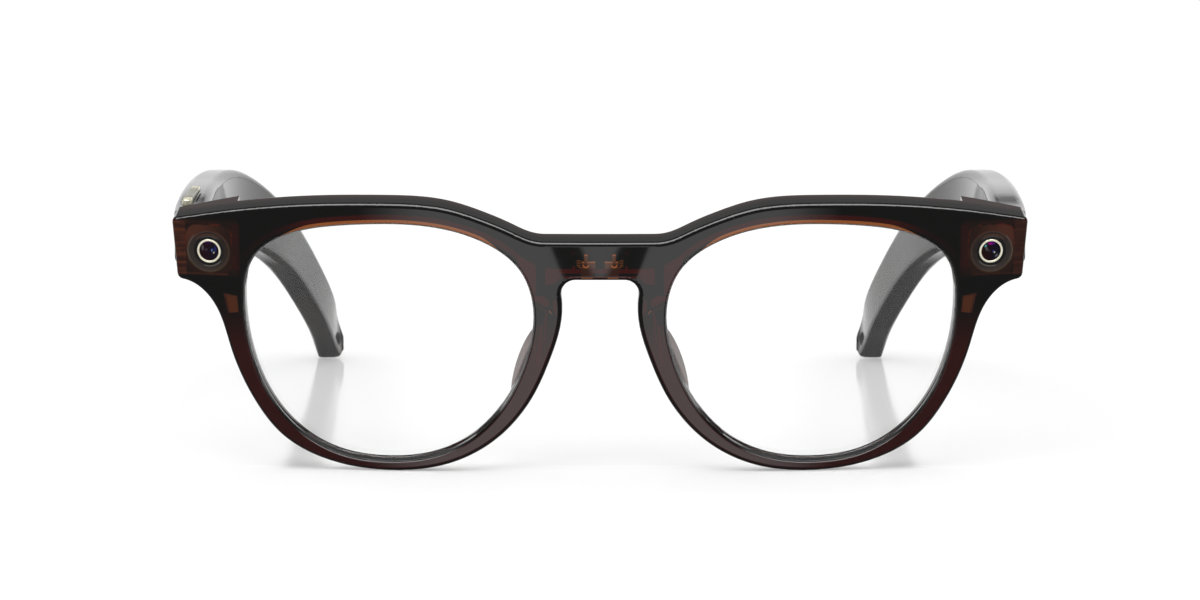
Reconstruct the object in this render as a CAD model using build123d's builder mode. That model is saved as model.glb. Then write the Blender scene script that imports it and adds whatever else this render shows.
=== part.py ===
from build123d import *

import os
from math import asin, atan2, cos, radians, sin, sqrt

os.makedirs("parts", exist_ok=True)

# Smart glasses, open, standing on the lower rims and the temple tips.
# Millimetres. +X is the wearer's left, the front faces -Y, the temples run to +Y, +Z is up.
# On the tilted front, u runs sideways, v runs up the front and depth runs back from its face.

# ---- the front as a whole
front_foot_y = -66.985        # the front's lower edge, ahead of the origin
pantoscopic_tilt = 9        # degrees that the front leans forward
wrap_radius = 400           # the front's curve from end piece to end piece
brow_depth = 6.6            # thickness at the brow
rim_depth = 4.0             # thickness at the lower rim
front_height = 48.9
bridge_top = 42.4
bridge_flat = 9.5           # half of the straight stretch over the bridge
bridge_under = 35.5         # underside of the keyhole bridge
bridge_side = 7.45
bridge_round = 2.5
end_piece_u = 74.8          # half width of the front
end_piece_top = 44.9
end_piece_bottom = 33.9
end_piece_taper = 0.7       # how much narrower the front is at the end piece's foot
end_top_round = 0.9
end_bottom_round = 1.2
seam_depth = 4.4            # where front shell and rear cover meet
seam_bottom = 28.3
seam_gap = 0.05
front_round = 0.8           # rounding of the outer edge of the front face
opening_round = 0.45        # and of its edge at the lenses
back_round = 0.8            # and of the lower rims' outer edge on the wearer's side
cover_round = 0.5           # and of the rear cover's edges on that side
end_piece_start = 63.6      # where the thick end pieces begin

# ---- lenses
lens_centre_u = 37.0
lens_centre_v = 24.0
lens_radius = 400
lens_thickness = 1.6
lens_depth = 1.1            # the lens's face behind the front's face, at its centre
lens_lip = 0.6              # how far the lens enters the groove
lens_bevel = 0.35
lens_clearance = 0.05

# ---- camera and indicator ports
port_u = 68.4
port_v = 39.2
dish_radius = 3.85
dish_depth = 0.35
port_wall = 1.3
ring_outer = 2.15
ring_inner = 1.72
ring_length = 0.95
seal_outer = 2.45
seal_length = 0.9
fit = 0.03                  # clearance of pieces that seat in each other
cover_glass_length = 0.5
module_side = 8.6
module_corner = 1.2
module_clearance = 0.1
module_length = 1.5
barrel_radius = 2.25
board_thickness = 0.5
guide_radius = 1.9

# ---- ribbon in the brow
flex_width = 0.9
flex_thickness = 0.2
flex_cover_gap = 0.08       # between ribbon and rear cover
channel_width = 1.2
channel_depth = 1.6

# ---- charging contacts at the bridge
contact_u = 2.2
contact_width = 1.9
contact_height = 2.5
contact_thickness = 0.6
contact_depth = 2.3         # behind the front's face
contact_top = 41.6
contact_head_v = 38.4
comb_teeth = (4.0, 4.75, 5.3)
carrier_width = 12.0
carrier_height = 5.2
microphone_width = 3.0
microphone_height = 2.0
microphone_thickness = 0.9

# ---- antenna strips behind the outer rims
antenna_u = 64.6
antenna_v = 30.6
antenna_width = 2.6
antenna_height = 3.2
antenna_thickness = 0.4

# ---- nose pads
pad_length = 17.0
pad_reach = 5.6             # how far they stand out behind the rims
pad_thickness = 2.6
pad_round = 1.1
pad_root = 2.0              # how deep in the rim they begin
pad_inset = 0.5             # from the line along the rim's edge
pad_splay = 15              # degrees that the pads open towards the wearer

# ---- temples
butt_gap = 0.4
temple_tip_y = 143.5
temple_thickness = 6.0
temple_lead = (0.057, 1, 0)   # the way it leaves the hinge
temple_end = (-0.05, 0.7, -0.7)
temple_round = 1.5
temple_top = 47.5
temple_wall = 1.5
section_count = 11          # sections that the temple is lofted through
cover_thickness = 1.1
cover_ledge = 0.8
cover_clearance = 0.06
cavity_start = 20.0
cavity_end = 97.0

# ---- hinges
hinge_x = 67.3
hinge_setback = 2.3         # axis behind the end piece's back face
hinge_bottom = 38.0
hinge_height = 7.2
knuckle_radius = 1.5
knuckle_gap = 0.08
centre_knuckle = 2.6
pin_radius = 0.7
pin_clearance = 0.03
pin_head_radius = 1.15
pin_head_height = 0.5
leaf_thickness = 1.2
front_leaf_width = 7.8
temple_leaf_length = 9.0
leaf_clearance = 0.05
screw_radius = 0.5
screw_head_radius = 0.95
screw_head_depth = 0.45
screw_length = 2.0

# ---- inside the temples
board_start = 33.0
board_length = 34.0
board_height = 7.4
board_plate = 0.8
board_back = 0.0            # its outer face, from the temple's middle plane
shield_length = 15.0
shield_height = 6.6
shield_thickness = 0.45
battery_start = 33.0
battery_length = 33.0
battery_height = 8.0
battery_thickness = 2.1
speaker_y = 84.0
speaker_length = 13.0
speaker_height = 7.0
speaker_thickness = 2.4
grille_length = 8.0
grille_width = 1.8
grille_pitch = 1.3
grille_slot = 0.6
temple_mic_y = 71.5
temple_mic_radius = 0.8
flex_strip_height = 3.0
flex_strip_thickness = 0.2
touch_length = 30.0
touch_height = 7.5
touch_thickness = 0.25

# ---- capture button, on top of the wearer's right temple
button_y = 18.0
button_length = 15.6
button_width = 1.6
button_cap = 3.0            # length of each end cap
button_groove = 0.35
button_proud = 0.7
button_travel = 0.4
button_clearance = 0.12
button_flange = 0.5
button_flange_height = 0.5
button_well_height = 2.6
switch_height = 0.8
switch_dome = 0.2
plunger_radius = 0.7
button_outboard = 0.4       # from the temple's middle line
slit_width = 0.25           # a sound slit beside the button
slit_length = 7.5
slit_depth = 0.6
slit_gap = 0.6              # its middle, from the button's side

# ---- power slider, on the inner face of the wearer's left temple
slider_y = 26.0
slider_length = 4.0
slider_height = 1.9
slider_travel = 2.0
slider_proud = 0.45
slider_clearance = 0.12
slider_flange = 0.6
slider_flange_thickness = 0.35
slider_body_thickness = 0.8

# ---- places worked out from the sizes above
foot_lift = (wrap_radius - sqrt(wrap_radius**2 - lens_centre_u**2)) * sin(
    radians(pantoscopic_tilt)
) + front_round * (sin(radians(pantoscopic_tilt)) + cos(radians(pantoscopic_tilt)) - 1)
front_plane = Plane(
    origin=(0, front_foot_y, -foot_lift),
    x_dir=(1, 0, 0),
    z_dir=(0, -cos(radians(pantoscopic_tilt)), -sin(radians(pantoscopic_tilt))),
)
plan_plane = Plane(origin=(0, front_foot_y, 0))
side_plane = Plane(origin=(0, front_foot_y, 0), x_dir=(0, 1, 0), z_dir=(1, 0, 0))
wrap_foot = 10
opening_steps = 18
wrap_plane = Plane(
    origin=front_plane.from_local_coords((0, -wrap_foot, -wrap_radius)),
    x_dir=(1, 0, 0),
    z_dir=front_plane.y_dir,
)
wrap_height = front_height + 2 * wrap_foot
depth_slope = (brow_depth - rim_depth) / front_height


def on_front(u, v, depth=0):
    """The point at (u, v) on the wrapped front face, or that depth behind it."""
    bow = wrap_radius - sqrt(wrap_radius**2 - u**2)
    return front_plane.from_local_coords((u, v, -bow - depth))


def facing_out(u, v, depth=0):
    """The plane square to the wrapped front face at (u, v), that depth behind it."""
    turn = asin(u / wrap_radius)
    across = Vector(cos(turn), 0, 0) - front_plane.z_dir * sin(turn)
    outward = Vector(sin(turn), 0, 0) + front_plane.z_dir * cos(turn)
    face = Plane(origin=on_front(u, v), x_dir=across, z_dir=outward)
    return face.offset(-depth)


def behind(depth, mode, bottom=-wrap_foot):
    """Add, cut or keep what lies behind the front's face by that depth, from bottom up."""
    with Locations(wrap_plane.offset(wrap_foot + bottom)):
        Cylinder(
            wrap_radius - depth,
            wrap_height,
            align=(Align.CENTER, Align.CENTER, Align.MIN),
            mode=mode,
        )


def behind_back_face(mode):
    """Cut or keep what lies behind the front's back face, which slopes from rim to brow."""
    with Locations(wrap_plane):
        Cone(
            wrap_radius - rim_depth + depth_slope * wrap_foot,
            wrap_radius - rim_depth - depth_slope * (wrap_height - wrap_foot),
            wrap_height,
            align=(Align.CENTER, Align.CENTER, Align.MIN),
            mode=mode,
        )


def beside(edge, u, v):
    """How far an edge along the front's depth lies from (|u|, v)."""
    middle = front_plane.to_local_coords(edge.center())
    return max(abs(abs(middle.X) - u), abs(middle.Y - v))


def edges_at(body, depth_of):
    """The body's edges whose middle lies at the given depth behind the front's face."""
    found = []
    for edge in body.edges():
        middle = front_plane.to_local_coords(edge.position_at(0.5))
        depth = wrap_radius - sqrt(middle.X**2 + (middle.Z + wrap_radius) ** 2)
        if abs(depth - depth_of(middle.Y)) < 0.02:
            found.append(edge)
    return found


def back_depth(v):
    """How deep the front's back face lies at v."""
    return rim_depth + depth_slope * v


butt_y = on_front(end_piece_u, end_piece_bottom, seam_depth + 1.0).Y - front_foot_y
hinge_y = butt_y + hinge_setback
temple_start = butt_y + butt_gap


# ==== front ======================================================================
with BuildPart() as front_prism:
    with BuildSketch(front_plane.offset(wrap_foot)):
        with BuildLine():
            Line((0, bridge_top), (bridge_flat, bridge_top))
            Spline(
                (bridge_flat, bridge_top),
                (15.5, 44.25),
                (20.4, 46.3),
                (26.6, 48.2),
                (38.0, front_height),
                (54.4, 48.1),
                (63.3, 47.0),
                (end_piece_u, end_piece_top),
                tangents=[(1, 0), (1, -0.19)],
            )
            Line(
                (end_piece_u, end_piece_top),
                (end_piece_u - end_piece_taper, end_piece_bottom),
            )
            Spline(
                (end_piece_u - end_piece_taper, end_piece_bottom),
                (70.5, 32.7),
                (67.6, 29.4),
                (65.1, 21.9),
                (61.1, 12.3),
                (56.2, 5.9),
                (48.5, 1.7),
                (37.8, 0),
                (27.0, 1.4),
                (19.0, 5.6),
                (12.3, 13.2),
                (8.6, 21.3),
                (6.7, 28.1),
                (bridge_side, bridge_under),
            )
            Line((bridge_side, bridge_under), (0, bridge_under))
            Line((0, bridge_under), (0, bridge_top))
        make_face()
        mirror(about=Plane.YZ)
    extrude(amount=-3 * wrap_foot)
    for corner, radius in (
        ((end_piece_u, end_piece_top), end_top_round),
        ((end_piece_u - end_piece_taper, end_piece_bottom), end_bottom_round),
        ((bridge_side, bridge_under), bridge_round),
    ):
        upright = front_prism.edges().filter_by(Axis(front_plane.origin, front_plane.z_dir))
        fillet([e for e in upright if beside(e, *corner) < 0.1], radius)

with BuildLine() as opening_line:
    Spline(
        (37.0, 45.15),
        (22.5, 43.1),
        (14.0, 37.3),
        (11.6, 29.5),
        (13.35, 19.8),
        (18.5, 10.3),
        (26.0, 4.3),
        (36.5, 2.0),
        (48.0, 3.9),
        (56.6, 10.9),
        (61.0, 20.5),
        (62.2, 30.5),
        (60.5, 38.2),
        (53.0, 43.2),
        periodic=True,
    )


def opening_sketch(grow=0):
    """The lens opening on the +X side, its edge moved outwards by the given distance."""
    edge = opening_line.edges()[0]
    with BuildSketch() as outline:
        with BuildLine():
            points = []
            for step in range(opening_steps):
                place = edge.position_at(step / opening_steps)
                along = edge.tangent_at(step / opening_steps)
                points.append(place + along.cross(Vector(0, 0, 1)) * grow)
            Spline(*points, periodic=True)
        make_face()
    return outline.sketch


opening = opening_sketch()

with BuildPart() as front_blank:
    add(front_prism.part)
    behind(0, Mode.INTERSECT)
    behind_back_face(Mode.SUBTRACT)
    with BuildSketch(front_plane.offset(wrap_foot)):
        add(opening)
        mirror(about=Plane.YZ)
    extrude(amount=-3 * wrap_foot, mode=Mode.SUBTRACT)
    lens_side = opening.edges()[0].length * 0.9
    for depth_of, outer, inner in (
        (lambda v: 0, front_round, opening_round),
        (back_depth, back_round, opening_round),
    ):
        rim_edges = edges_at(front_blank, depth_of)
        fillet([e for e in rim_edges if e.length < lens_side], outer)
        rim_edges = edges_at(front_blank, depth_of)
        fillet([e for e in rim_edges if e.length > lens_side], inner)


def lens(grow):
    """The lens on the +X side, grown all over by the given clearance."""
    turn = asin(lens_centre_u / wrap_radius)
    inward = wrap_radius - lens_depth - lens_radius
    centre = front_plane.from_local_coords(
        (inward * sin(turn), lens_centre_v, inward * cos(turn) - wrap_radius)
    )
    with BuildPart() as body:
        with BuildSketch(front_plane.offset(wrap_foot)):
            add(opening_sketch(lens_lip + grow))
        extrude(amount=-3 * wrap_foot)
        with Locations(centre):
            Sphere(lens_radius + grow, mode=Mode.INTERSECT)
            Sphere(lens_radius - lens_thickness - grow, mode=Mode.SUBTRACT)
        faces = body.faces().sort_by(SortBy.AREA)[-2:]
        chamfer([e for face in faces for e in face.outer_wire().edges()], lens_bevel)
    return body


lens_left = lens(0)
lens_room = lens(lens_clearance)
with BuildPart() as lens_right:
    mirror(lens_left.part, about=Plane.YZ)
for piece, name in ((lens_left, "lens_left"), (lens_right, "lens_right")):
    piece.part.label = name
    export_step(piece.part, f"parts/{name}.step")


port = facing_out(port_u, port_v)
module_depth = port_wall + module_clearance
board_depth = module_depth + module_length + 0.05
ring_face = dish_depth - 0.2
glass_face = dish_depth + 0.05
barrel_face = dish_depth + seal_length + 0.05

with BuildPart() as port_room:
    with Locations(port.offset(-dish_depth)):
        Cone(
            seal_outer + 0.25,
            dish_radius + 0.3,
            dish_depth + 0.08,
            align=(Align.CENTER, Align.CENTER, Align.MIN),
        )
    with BuildSketch(port):
        Circle(seal_outer + fit)
    extrude(amount=-seam_depth)
    with BuildSketch(port.offset(-port_wall)):
        RectangleRounded(
            module_side + 2 * module_clearance,
            module_side + 2 * module_clearance,
            module_corner + module_clearance,
        )
    extrude(amount=-seam_depth)

with BuildSketch() as brow_route:
    with BuildLine() as brow_line:
        Spline(
            (0, 39.3),
            (8.5, 39.9),
            (14.2, 41.4),
            (19.8, 44.4),
            (27.0, 46.6),
            (37.0, 47.2),
            (50.0, 46.6),
            (58.5, 44.9),
            (64.5, 41.8),
            tangents=[(1, 0), (1, -0.7)],
        )
    trace(line_width=flex_width)
with BuildSketch() as channel_route:
    trace(brow_line.line, line_width=channel_width)

with BuildPart() as channel:
    with BuildSketch(front_plane):
        add(channel_route.sketch)
        mirror(about=Plane.YZ)
    extrude(amount=-3 * wrap_foot)
    behind(seam_depth - channel_depth, Mode.INTERSECT)

with BuildPart() as bridge_pocket:
    with BuildSketch(front_plane.offset(-contact_depth)):
        with Locations((0, contact_top - carrier_height / 2)):
            Rectangle(carrier_width + 0.2, carrier_height + 0.2)
    extrude(amount=-seam_depth)
    with BuildSketch(front_plane.offset(-contact_depth)):
        with Locations((contact_u, bridge_under), (-contact_u, bridge_under)):
            Rectangle(contact_width + 2 * fit, 4)
    extrude(amount=-contact_thickness - 2 * fit)

antenna_plane = facing_out(antenna_u, antenna_v)
antenna_depth = seam_depth - 1.0
with BuildPart() as antenna_pocket:
    with BuildSketch(antenna_plane.offset(-antenna_depth)):
        Rectangle(antenna_width + 0.2, antenna_height + 0.2)
    extrude(amount=-2)

# ---- front shell: rims, bridge and end pieces in one moulding
with BuildPart() as front_shell:
    add(front_blank.part)
    behind(seam_depth, Mode.SUBTRACT, bottom=seam_bottom)
    for cut in (lens_room, port_room, antenna_pocket):
        add(cut.part, mode=Mode.SUBTRACT)
        mirror(cut.part, about=Plane.YZ, mode=Mode.SUBTRACT)
    add(channel.part, mode=Mode.SUBTRACT)
    add(bridge_pocket.part, mode=Mode.SUBTRACT)
front_shell.part.label = "front_shell"
export_step(front_shell.part, "parts/front_shell.step")

# ---- rear cover: closes the brow, the bridge and the end pieces, and carries the hinges
with BuildPart() as end_block:
    add(front_prism.part)
    behind(seam_depth + seam_gap, Mode.INTERSECT, bottom=seam_bottom + seam_gap)
    with BuildSketch(plan_plane):
        with Locations((end_piece_u, 0)):
            Rectangle(2 * (end_piece_u - end_piece_start), 2 * butt_y)
    extrude(amount=2 * front_height, mode=Mode.INTERSECT)

leaf_u = (end_piece_u + end_piece_start) / 2 - 0.6
with BuildPart() as rear_cover:
    add(front_prism.part)
    behind(seam_depth + seam_gap, Mode.INTERSECT, bottom=seam_bottom + seam_gap)
    behind_back_face(Mode.SUBTRACT)
    with BuildSketch(front_plane.offset(wrap_foot)):
        add(opening)
        mirror(about=Plane.YZ)
    extrude(amount=-3 * wrap_foot, mode=Mode.SUBTRACT)
    with BuildSketch(plan_plane):
        Rectangle(2 * end_piece_start, 6 * butt_y)
    extrude(amount=2 * front_height, mode=Mode.INTERSECT)
    back_edges = []
    for edge in edges_at(rear_cover, back_depth):
        middle = front_plane.to_local_coords(edge.position_at(0.5))
        if abs(middle.X) < end_piece_start - 0.1 and middle.Y > seam_bottom + 0.5:
            back_edges.append(edge)
    fillet(back_edges, cover_round)
    add(end_block.part)
    mirror(end_block.part, about=Plane.YZ)

# ==== hinges =====================================================================
hinge_middle = hinge_bottom + hinge_height / 2
leaf_back = Plane(
    origin=(leaf_u, front_foot_y + butt_y, hinge_middle), x_dir=(1, 0, 0), z_dir=(0, -1, 0)
)
knuckle_bottom = plan_plane.offset(hinge_bottom)
knuckle_length = (hinge_height - centre_knuckle) / 2 - knuckle_gap
front_screw_spots = [(1.9, -2.2), (1.9, 2.2)]

with BuildPart() as front_leaf_room:
    with BuildSketch(leaf_back.offset(-1)):
        Rectangle(front_leaf_width + 2 * leaf_clearance, hinge_height + 2 * leaf_clearance)
    extrude(amount=1 + leaf_thickness + leaf_clearance)
    with BuildSketch(leaf_back):
        with Locations(*front_screw_spots):
            Circle(screw_radius + fit)
    extrude(amount=screw_length + 0.05)

with BuildPart() as front_hinge_left:
    with BuildSketch(leaf_back):
        Rectangle(front_leaf_width, hinge_height)
    extrude(amount=leaf_thickness)
    with BuildSketch(knuckle_bottom):
        with Locations((hinge_x, butt_y + hinge_setback / 2)):
            Rectangle(1.5 * knuckle_radius, hinge_setback)
        with Locations((hinge_x, hinge_y)):
            Circle(knuckle_radius)
    extrude(amount=knuckle_length)
    with BuildSketch(knuckle_bottom.offset(hinge_height - knuckle_length)):
        with Locations((hinge_x, butt_y + hinge_setback / 2)):
            Rectangle(1.5 * knuckle_radius, hinge_setback)
        with Locations((hinge_x, hinge_y)):
            Circle(knuckle_radius)
    extrude(amount=knuckle_length)
    with BuildSketch(knuckle_bottom.offset(-1)):
        with Locations((hinge_x, hinge_y)):
            Circle(pin_radius + pin_clearance)
    extrude(amount=hinge_height + 2, mode=Mode.SUBTRACT)
    with Locations(leaf_back.location):
        with Locations(*[(x, y, 0) for x, y in front_screw_spots]):
            Cylinder(
                screw_radius + fit,
                2 * leaf_thickness + 1,
                mode=Mode.SUBTRACT,
            )
            Cylinder(
                screw_head_radius + fit,
                2 * screw_head_depth,
                mode=Mode.SUBTRACT,
            )

with BuildPart() as hinge_pin_left:
    with BuildSketch(knuckle_bottom):
        with Locations((hinge_x, hinge_y)):
            Circle(pin_radius)
    extrude(amount=hinge_height)
    with BuildSketch(knuckle_bottom.offset(hinge_height)):
        with Locations((hinge_x, hinge_y)):
            Circle(pin_head_radius)
    extrude(amount=pin_head_height)
    chamfer(hinge_pin_left.faces().sort_by(Axis.Z)[0].edges(), 0.15)
    fillet(hinge_pin_left.faces().sort_by(Axis.Z)[-1].edges(), 0.15)
    with BuildSketch(knuckle_bottom.offset(hinge_height + pin_head_height)):
        with Locations((hinge_x, hinge_y)):
            Rectangle(2 * pin_head_radius, 0.3)
    extrude(amount=-0.25, mode=Mode.SUBTRACT)


def screw(plane):
    """A countersunk screw whose head lies flush with the plane, running along its normal."""
    with BuildPart() as body:
        with BuildSketch(plane):
            Circle(screw_head_radius)
        extrude(amount=screw_head_depth)
        with BuildSketch(plane):
            Circle(screw_radius)
        extrude(amount=screw_length)
        with BuildSketch(plane):
            Rectangle(1.3, 0.3)
            Rectangle(0.3, 1.3)
        extrude(amount=0.25, mode=Mode.SUBTRACT)
    return body.part


with BuildPart() as front_hinge_screws:
    for x, y in front_screw_spots:
        head = Plane(
            origin=leaf_back.from_local_coords((x, y, 0)),
            x_dir=(1, 0, 0),
            z_dir=leaf_back.z_dir,
        )
        add(screw(head))
    mirror(front_hinge_screws.part, about=Plane.YZ)

with BuildPart() as front_hinge_right:
    mirror(front_hinge_left.part, about=Plane.YZ)
with BuildPart() as hinge_pin_right:
    mirror(hinge_pin_left.part, about=Plane.YZ)
with BuildPart() as rear_cover_finished:
    add(rear_cover.part)
    add(front_leaf_room.part, mode=Mode.SUBTRACT)
    mirror(front_leaf_room.part, about=Plane.YZ, mode=Mode.SUBTRACT)

for piece, name in (
    (rear_cover_finished, "rear_cover"),
    (front_hinge_left, "front_hinge_left"),
    (front_hinge_right, "front_hinge_right"),
    (hinge_pin_left, "hinge_pin_left"),
    (hinge_pin_right, "hinge_pin_right"),
    (front_hinge_screws, "front_hinge_screws"),
):
    piece.part.label = name
    export_step(piece.part, f"parts/{name}.step")

# ==== camera and indicator =======================================================
with BuildPart() as camera_trim_ring:
    with BuildSketch(port.offset(-ring_face)):
        Circle(ring_outer)
        Circle(ring_inner, mode=Mode.SUBTRACT)
    extrude(amount=-ring_length)
    chamfer(camera_trim_ring.faces().sort_by(Axis(port.origin, port.z_dir))[-1].edges(), 0.12)

with BuildPart() as camera_seal:
    with BuildSketch(port.offset(-dish_depth)):
        Circle(seal_outer)
        Circle(ring_outer + fit, mode=Mode.SUBTRACT)
    extrude(amount=-seal_length)

with BuildPart() as camera_cover_glass:
    with BuildSketch(port.offset(-glass_face)):
        Circle(ring_inner - fit)
    extrude(amount=-cover_glass_length)

with BuildPart() as camera_barrel:
    with BuildSketch(port.offset(-module_depth)):
        RectangleRounded(module_side, module_side, module_corner)
    extrude(amount=-module_length)
    with BuildSketch(port.offset(-barrel_face)):
        Circle(barrel_radius)
    extrude(amount=-(module_depth - barrel_face) - 0.1)
    with Locations(port.offset(-barrel_face)):
        CounterBoreHole(0.6, 1.35, 0.35, depth=1.0)

with BuildPart() as camera_sensor_board:
    with BuildSketch(port.offset(-board_depth)):
        RectangleRounded(module_side, module_side, module_corner)
    extrude(amount=-board_thickness)

with BuildPart() as indicator_light_guide:
    with BuildSketch(port.offset(-module_depth)):
        RectangleRounded(module_side, module_side, module_corner)
    extrude(amount=-0.8)
    with BuildSketch(port.offset(-barrel_face)):
        Circle(guide_radius)
    extrude(amount=-(module_depth - barrel_face) - 0.1)

with BuildPart() as indicator_led_board:
    with BuildSketch(port.offset(-board_depth)):
        RectangleRounded(module_side, module_side, module_corner)
    extrude(amount=-board_thickness)
    with BuildSketch(port.offset(-board_depth)):
        with Locations((0, 0), (2.6, 2.4), (-2.6, 2.4)):
            Rectangle(1.6, 1.2)
    extrude(amount=0.6)

for piece, name in (
    (camera_trim_ring, "camera_trim_ring"),
    (camera_seal, "camera_seal"),
    (camera_cover_glass, "camera_cover_glass"),
    (camera_barrel, "camera_barrel"),
    (camera_sensor_board, "camera_sensor_board"),
):
    piece.part.label = name
    export_step(piece.part, f"parts/{name}.step")

for piece, name in (
    (camera_trim_ring, "indicator_trim_ring"),
    (camera_seal, "indicator_seal"),
    (camera_cover_glass, "indicator_cover_glass"),
    (indicator_light_guide, "indicator_light_guide"),
    (indicator_led_board, "indicator_led_board"),
):
    with BuildPart() as twin:
        mirror(piece.part, about=Plane.YZ)
    twin.part.label = name
    export_step(twin.part, f"parts/{name}.step")

# ==== bridge and brow ============================================================
with BuildPart() as charging_contacts:
    with BuildSketch(front_plane.offset(-contact_depth - fit)):
        with Locations((contact_u, bridge_under + fit)):
            Rectangle(contact_width, contact_height, align=(Align.CENTER, Align.MIN))
        with Locations((contact_u + 0.25, contact_head_v)):
            Rectangle(2.4, 1.8)
        with Locations((comb_teeth[1] - 0.35, contact_head_v - 0.3)):
            Rectangle(2.2, 0.4)
        with Locations(*[(tooth, contact_head_v + 0.2) for tooth in comb_teeth]):
            Rectangle(0.3, 0.8)
    extrude(amount=-contact_thickness)
    mirror(charging_contacts.part, about=Plane.YZ)

with BuildPart() as contact_carrier:
    with BuildSketch(front_plane.offset(-contact_depth - contact_thickness - 2 * fit)):
        with Locations((0, contact_top - carrier_height / 2)):
            RectangleRounded(carrier_width, carrier_height, 0.8)
    extrude(amount=-(seam_depth - contact_depth - contact_thickness - 2 * fit - 0.35))
    with BuildSketch(front_plane.offset(-contact_depth - contact_thickness - 2 * fit)):
        with Locations((0, contact_top - carrier_height / 2)):
            Rectangle(microphone_width + 2 * fit, microphone_height + 2 * fit)
    extrude(amount=-microphone_thickness, mode=Mode.SUBTRACT)

with BuildPart() as bridge_microphone:
    with BuildSketch(front_plane.offset(-contact_depth - contact_thickness - 2 * fit - 0.1)):
        with Locations((0, contact_top - carrier_height / 2)):
            Rectangle(microphone_width, microphone_height)
    extrude(amount=-microphone_thickness + 0.15)

with BuildPart() as brow_flex:
    with BuildSketch(front_plane):
        add(brow_route.sketch)
        mirror(about=Plane.YZ)
    extrude(amount=-3 * wrap_foot)
    behind(seam_depth - flex_cover_gap - flex_thickness, Mode.INTERSECT)
    behind(seam_depth - flex_cover_gap, Mode.SUBTRACT)

with BuildPart() as antenna_strip_left:
    with BuildSketch(antenna_plane.offset(-antenna_depth - fit)):
        Rectangle(antenna_width, antenna_height)
    extrude(amount=-antenna_thickness)
with BuildPart() as antenna_strip_right:
    mirror(antenna_strip_left.part, about=Plane.YZ)

# ---- nose pads, set on the back of the rims on each side of the nose
pad_top = Vector(7.6, 27.4)
pad_foot = Vector(14.6, 9.9)
pad_run = (pad_foot - pad_top).normalized()
splay = radians(pad_splay)
pad_along = front_plane.x_dir * pad_run.X + front_plane.y_dir * pad_run.Y
pad_sideways = front_plane.x_dir * -pad_run.Y + front_plane.y_dir * pad_run.X
pad_back = front_plane.z_dir * -cos(splay) + pad_sideways * sin(splay)
pad_plane = Plane(
    origin=front_plane.from_local_coords((pad_top.X + pad_inset, pad_top.Y, -pad_root)),
    x_dir=pad_along,
    z_dir=pad_along.cross(pad_back),
)
with BuildPart() as nose_pad_left:
    with BuildSketch(pad_plane):
        with Locations((pad_length / 2, 0)):
            Ellipse(pad_length / 2, pad_reach + pad_root)
        with Locations((pad_length / 2, -pad_reach)):
            Rectangle(2 * pad_length, 2 * pad_reach, mode=Mode.SUBTRACT)
    extrude(amount=-pad_thickness / 2, both=True)
    fillet(nose_pad_left.edges().filter_by(GeomType.ELLIPSE), pad_round)
    behind_back_face(Mode.INTERSECT)
with BuildPart() as nose_pad_right:
    mirror(nose_pad_left.part, about=Plane.YZ)

for piece, name in (
    (charging_contacts, "charging_contacts"),
    (contact_carrier, "contact_carrier"),
    (bridge_microphone, "bridge_microphone"),
    (brow_flex, "brow_flex"),
    (antenna_strip_left, "antenna_strip_left"),
    (antenna_strip_right, "antenna_strip_right"),
    (nose_pad_left, "nose_pad_left"),
    (nose_pad_right, "nose_pad_right"),
):
    piece.part.label = name
    export_step(piece.part, f"parts/{name}.step")

# ==== temples ====================================================================
# Each temple is lofted through rounded sections square to one centre line. The +X side is
# modelled and the other mirrored; only what each side holds by itself differs.
# A station is the centre's x, y and z, the section's thickness and its height.
stations = [
    (72.2, temple_start, 41.05, temple_thickness, 10.3),
    (73.5, 30, 41.2, temple_thickness, 12.8),
    (74.2, 50, 40.6, temple_thickness, 13.9),
    (73.5, 68, 40.0, temple_thickness, 14.4),
    (70.7, 85, 37.0, temple_thickness, 13.2),
    (66.3, 101, 30.7, temple_thickness - 0.3, 11.2),
    (62.6, 116, 22.0, temple_thickness - 0.6, 9.8),
    (59.4, 131, 11.0, temple_thickness - 0.9, 9.0),
    (57.6, temple_tip_y - 2.8, 1.3, temple_thickness - 1.2, 8.6),
]
with BuildLine(plan_plane) as temple_centre:
    Spline(*[(x, y, z) for x, y, z, thick, high in stations], tangents=[temple_lead, temple_end])
centre_line = temple_centre.edges()[0]


def station_plane(x, y, z):
    """The plane square to the temple's centre line, its own x across the temple."""
    place = plan_plane.from_local_coords((x, y, z))
    along = centre_line.tangent_at(centre_line.param_at_point(place))
    across = Vector(along.Y, -along.X, 0).normalized()
    return Plane(origin=place, x_dir=across, z_dir=along)


def along_temple(y):
    """The temple's middle plane at y: its own x runs along the temple, its z outwards."""
    near, far = 0, 1
    for step in range(40):
        middle = (near + far) / 2
        if centre_line.position_at(middle).Y - front_foot_y < y:
            near = middle
        else:
            far = middle
    along = centre_line.tangent_at(near)
    across = Vector(along.Y, -along.X, 0).normalized()
    return Plane(origin=centre_line.position_at(near), x_dir=along, z_dir=across)


with BuildLine() as thickness_line:
    Spline(*[(y, thick) for x, y, z, thick, high in stations])
with BuildLine() as height_line:
    Spline(*[(y, high) for x, y, z, thick, high in stations])


def value_at(line, y):
    """Where a line drawn over y stands at that y."""
    edge = line.edges()[0]
    near, far = 0, 1
    for step in range(30):
        middle = (near + far) / 2
        if edge.position_at(middle).X < y:
            near = middle
        else:
            far = middle
    return edge.position_at(near).Y


tip_radius = stations[-1][4] / 2
tip_way = Vector(temple_end).normalized()
tip_plane = Plane(
    origin=centre_line.position_at(1) - tip_way * tip_radius,
    x_dir=tip_way,
    z_dir=tip_way.cross(Vector(0, 0, 1)),
)

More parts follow.
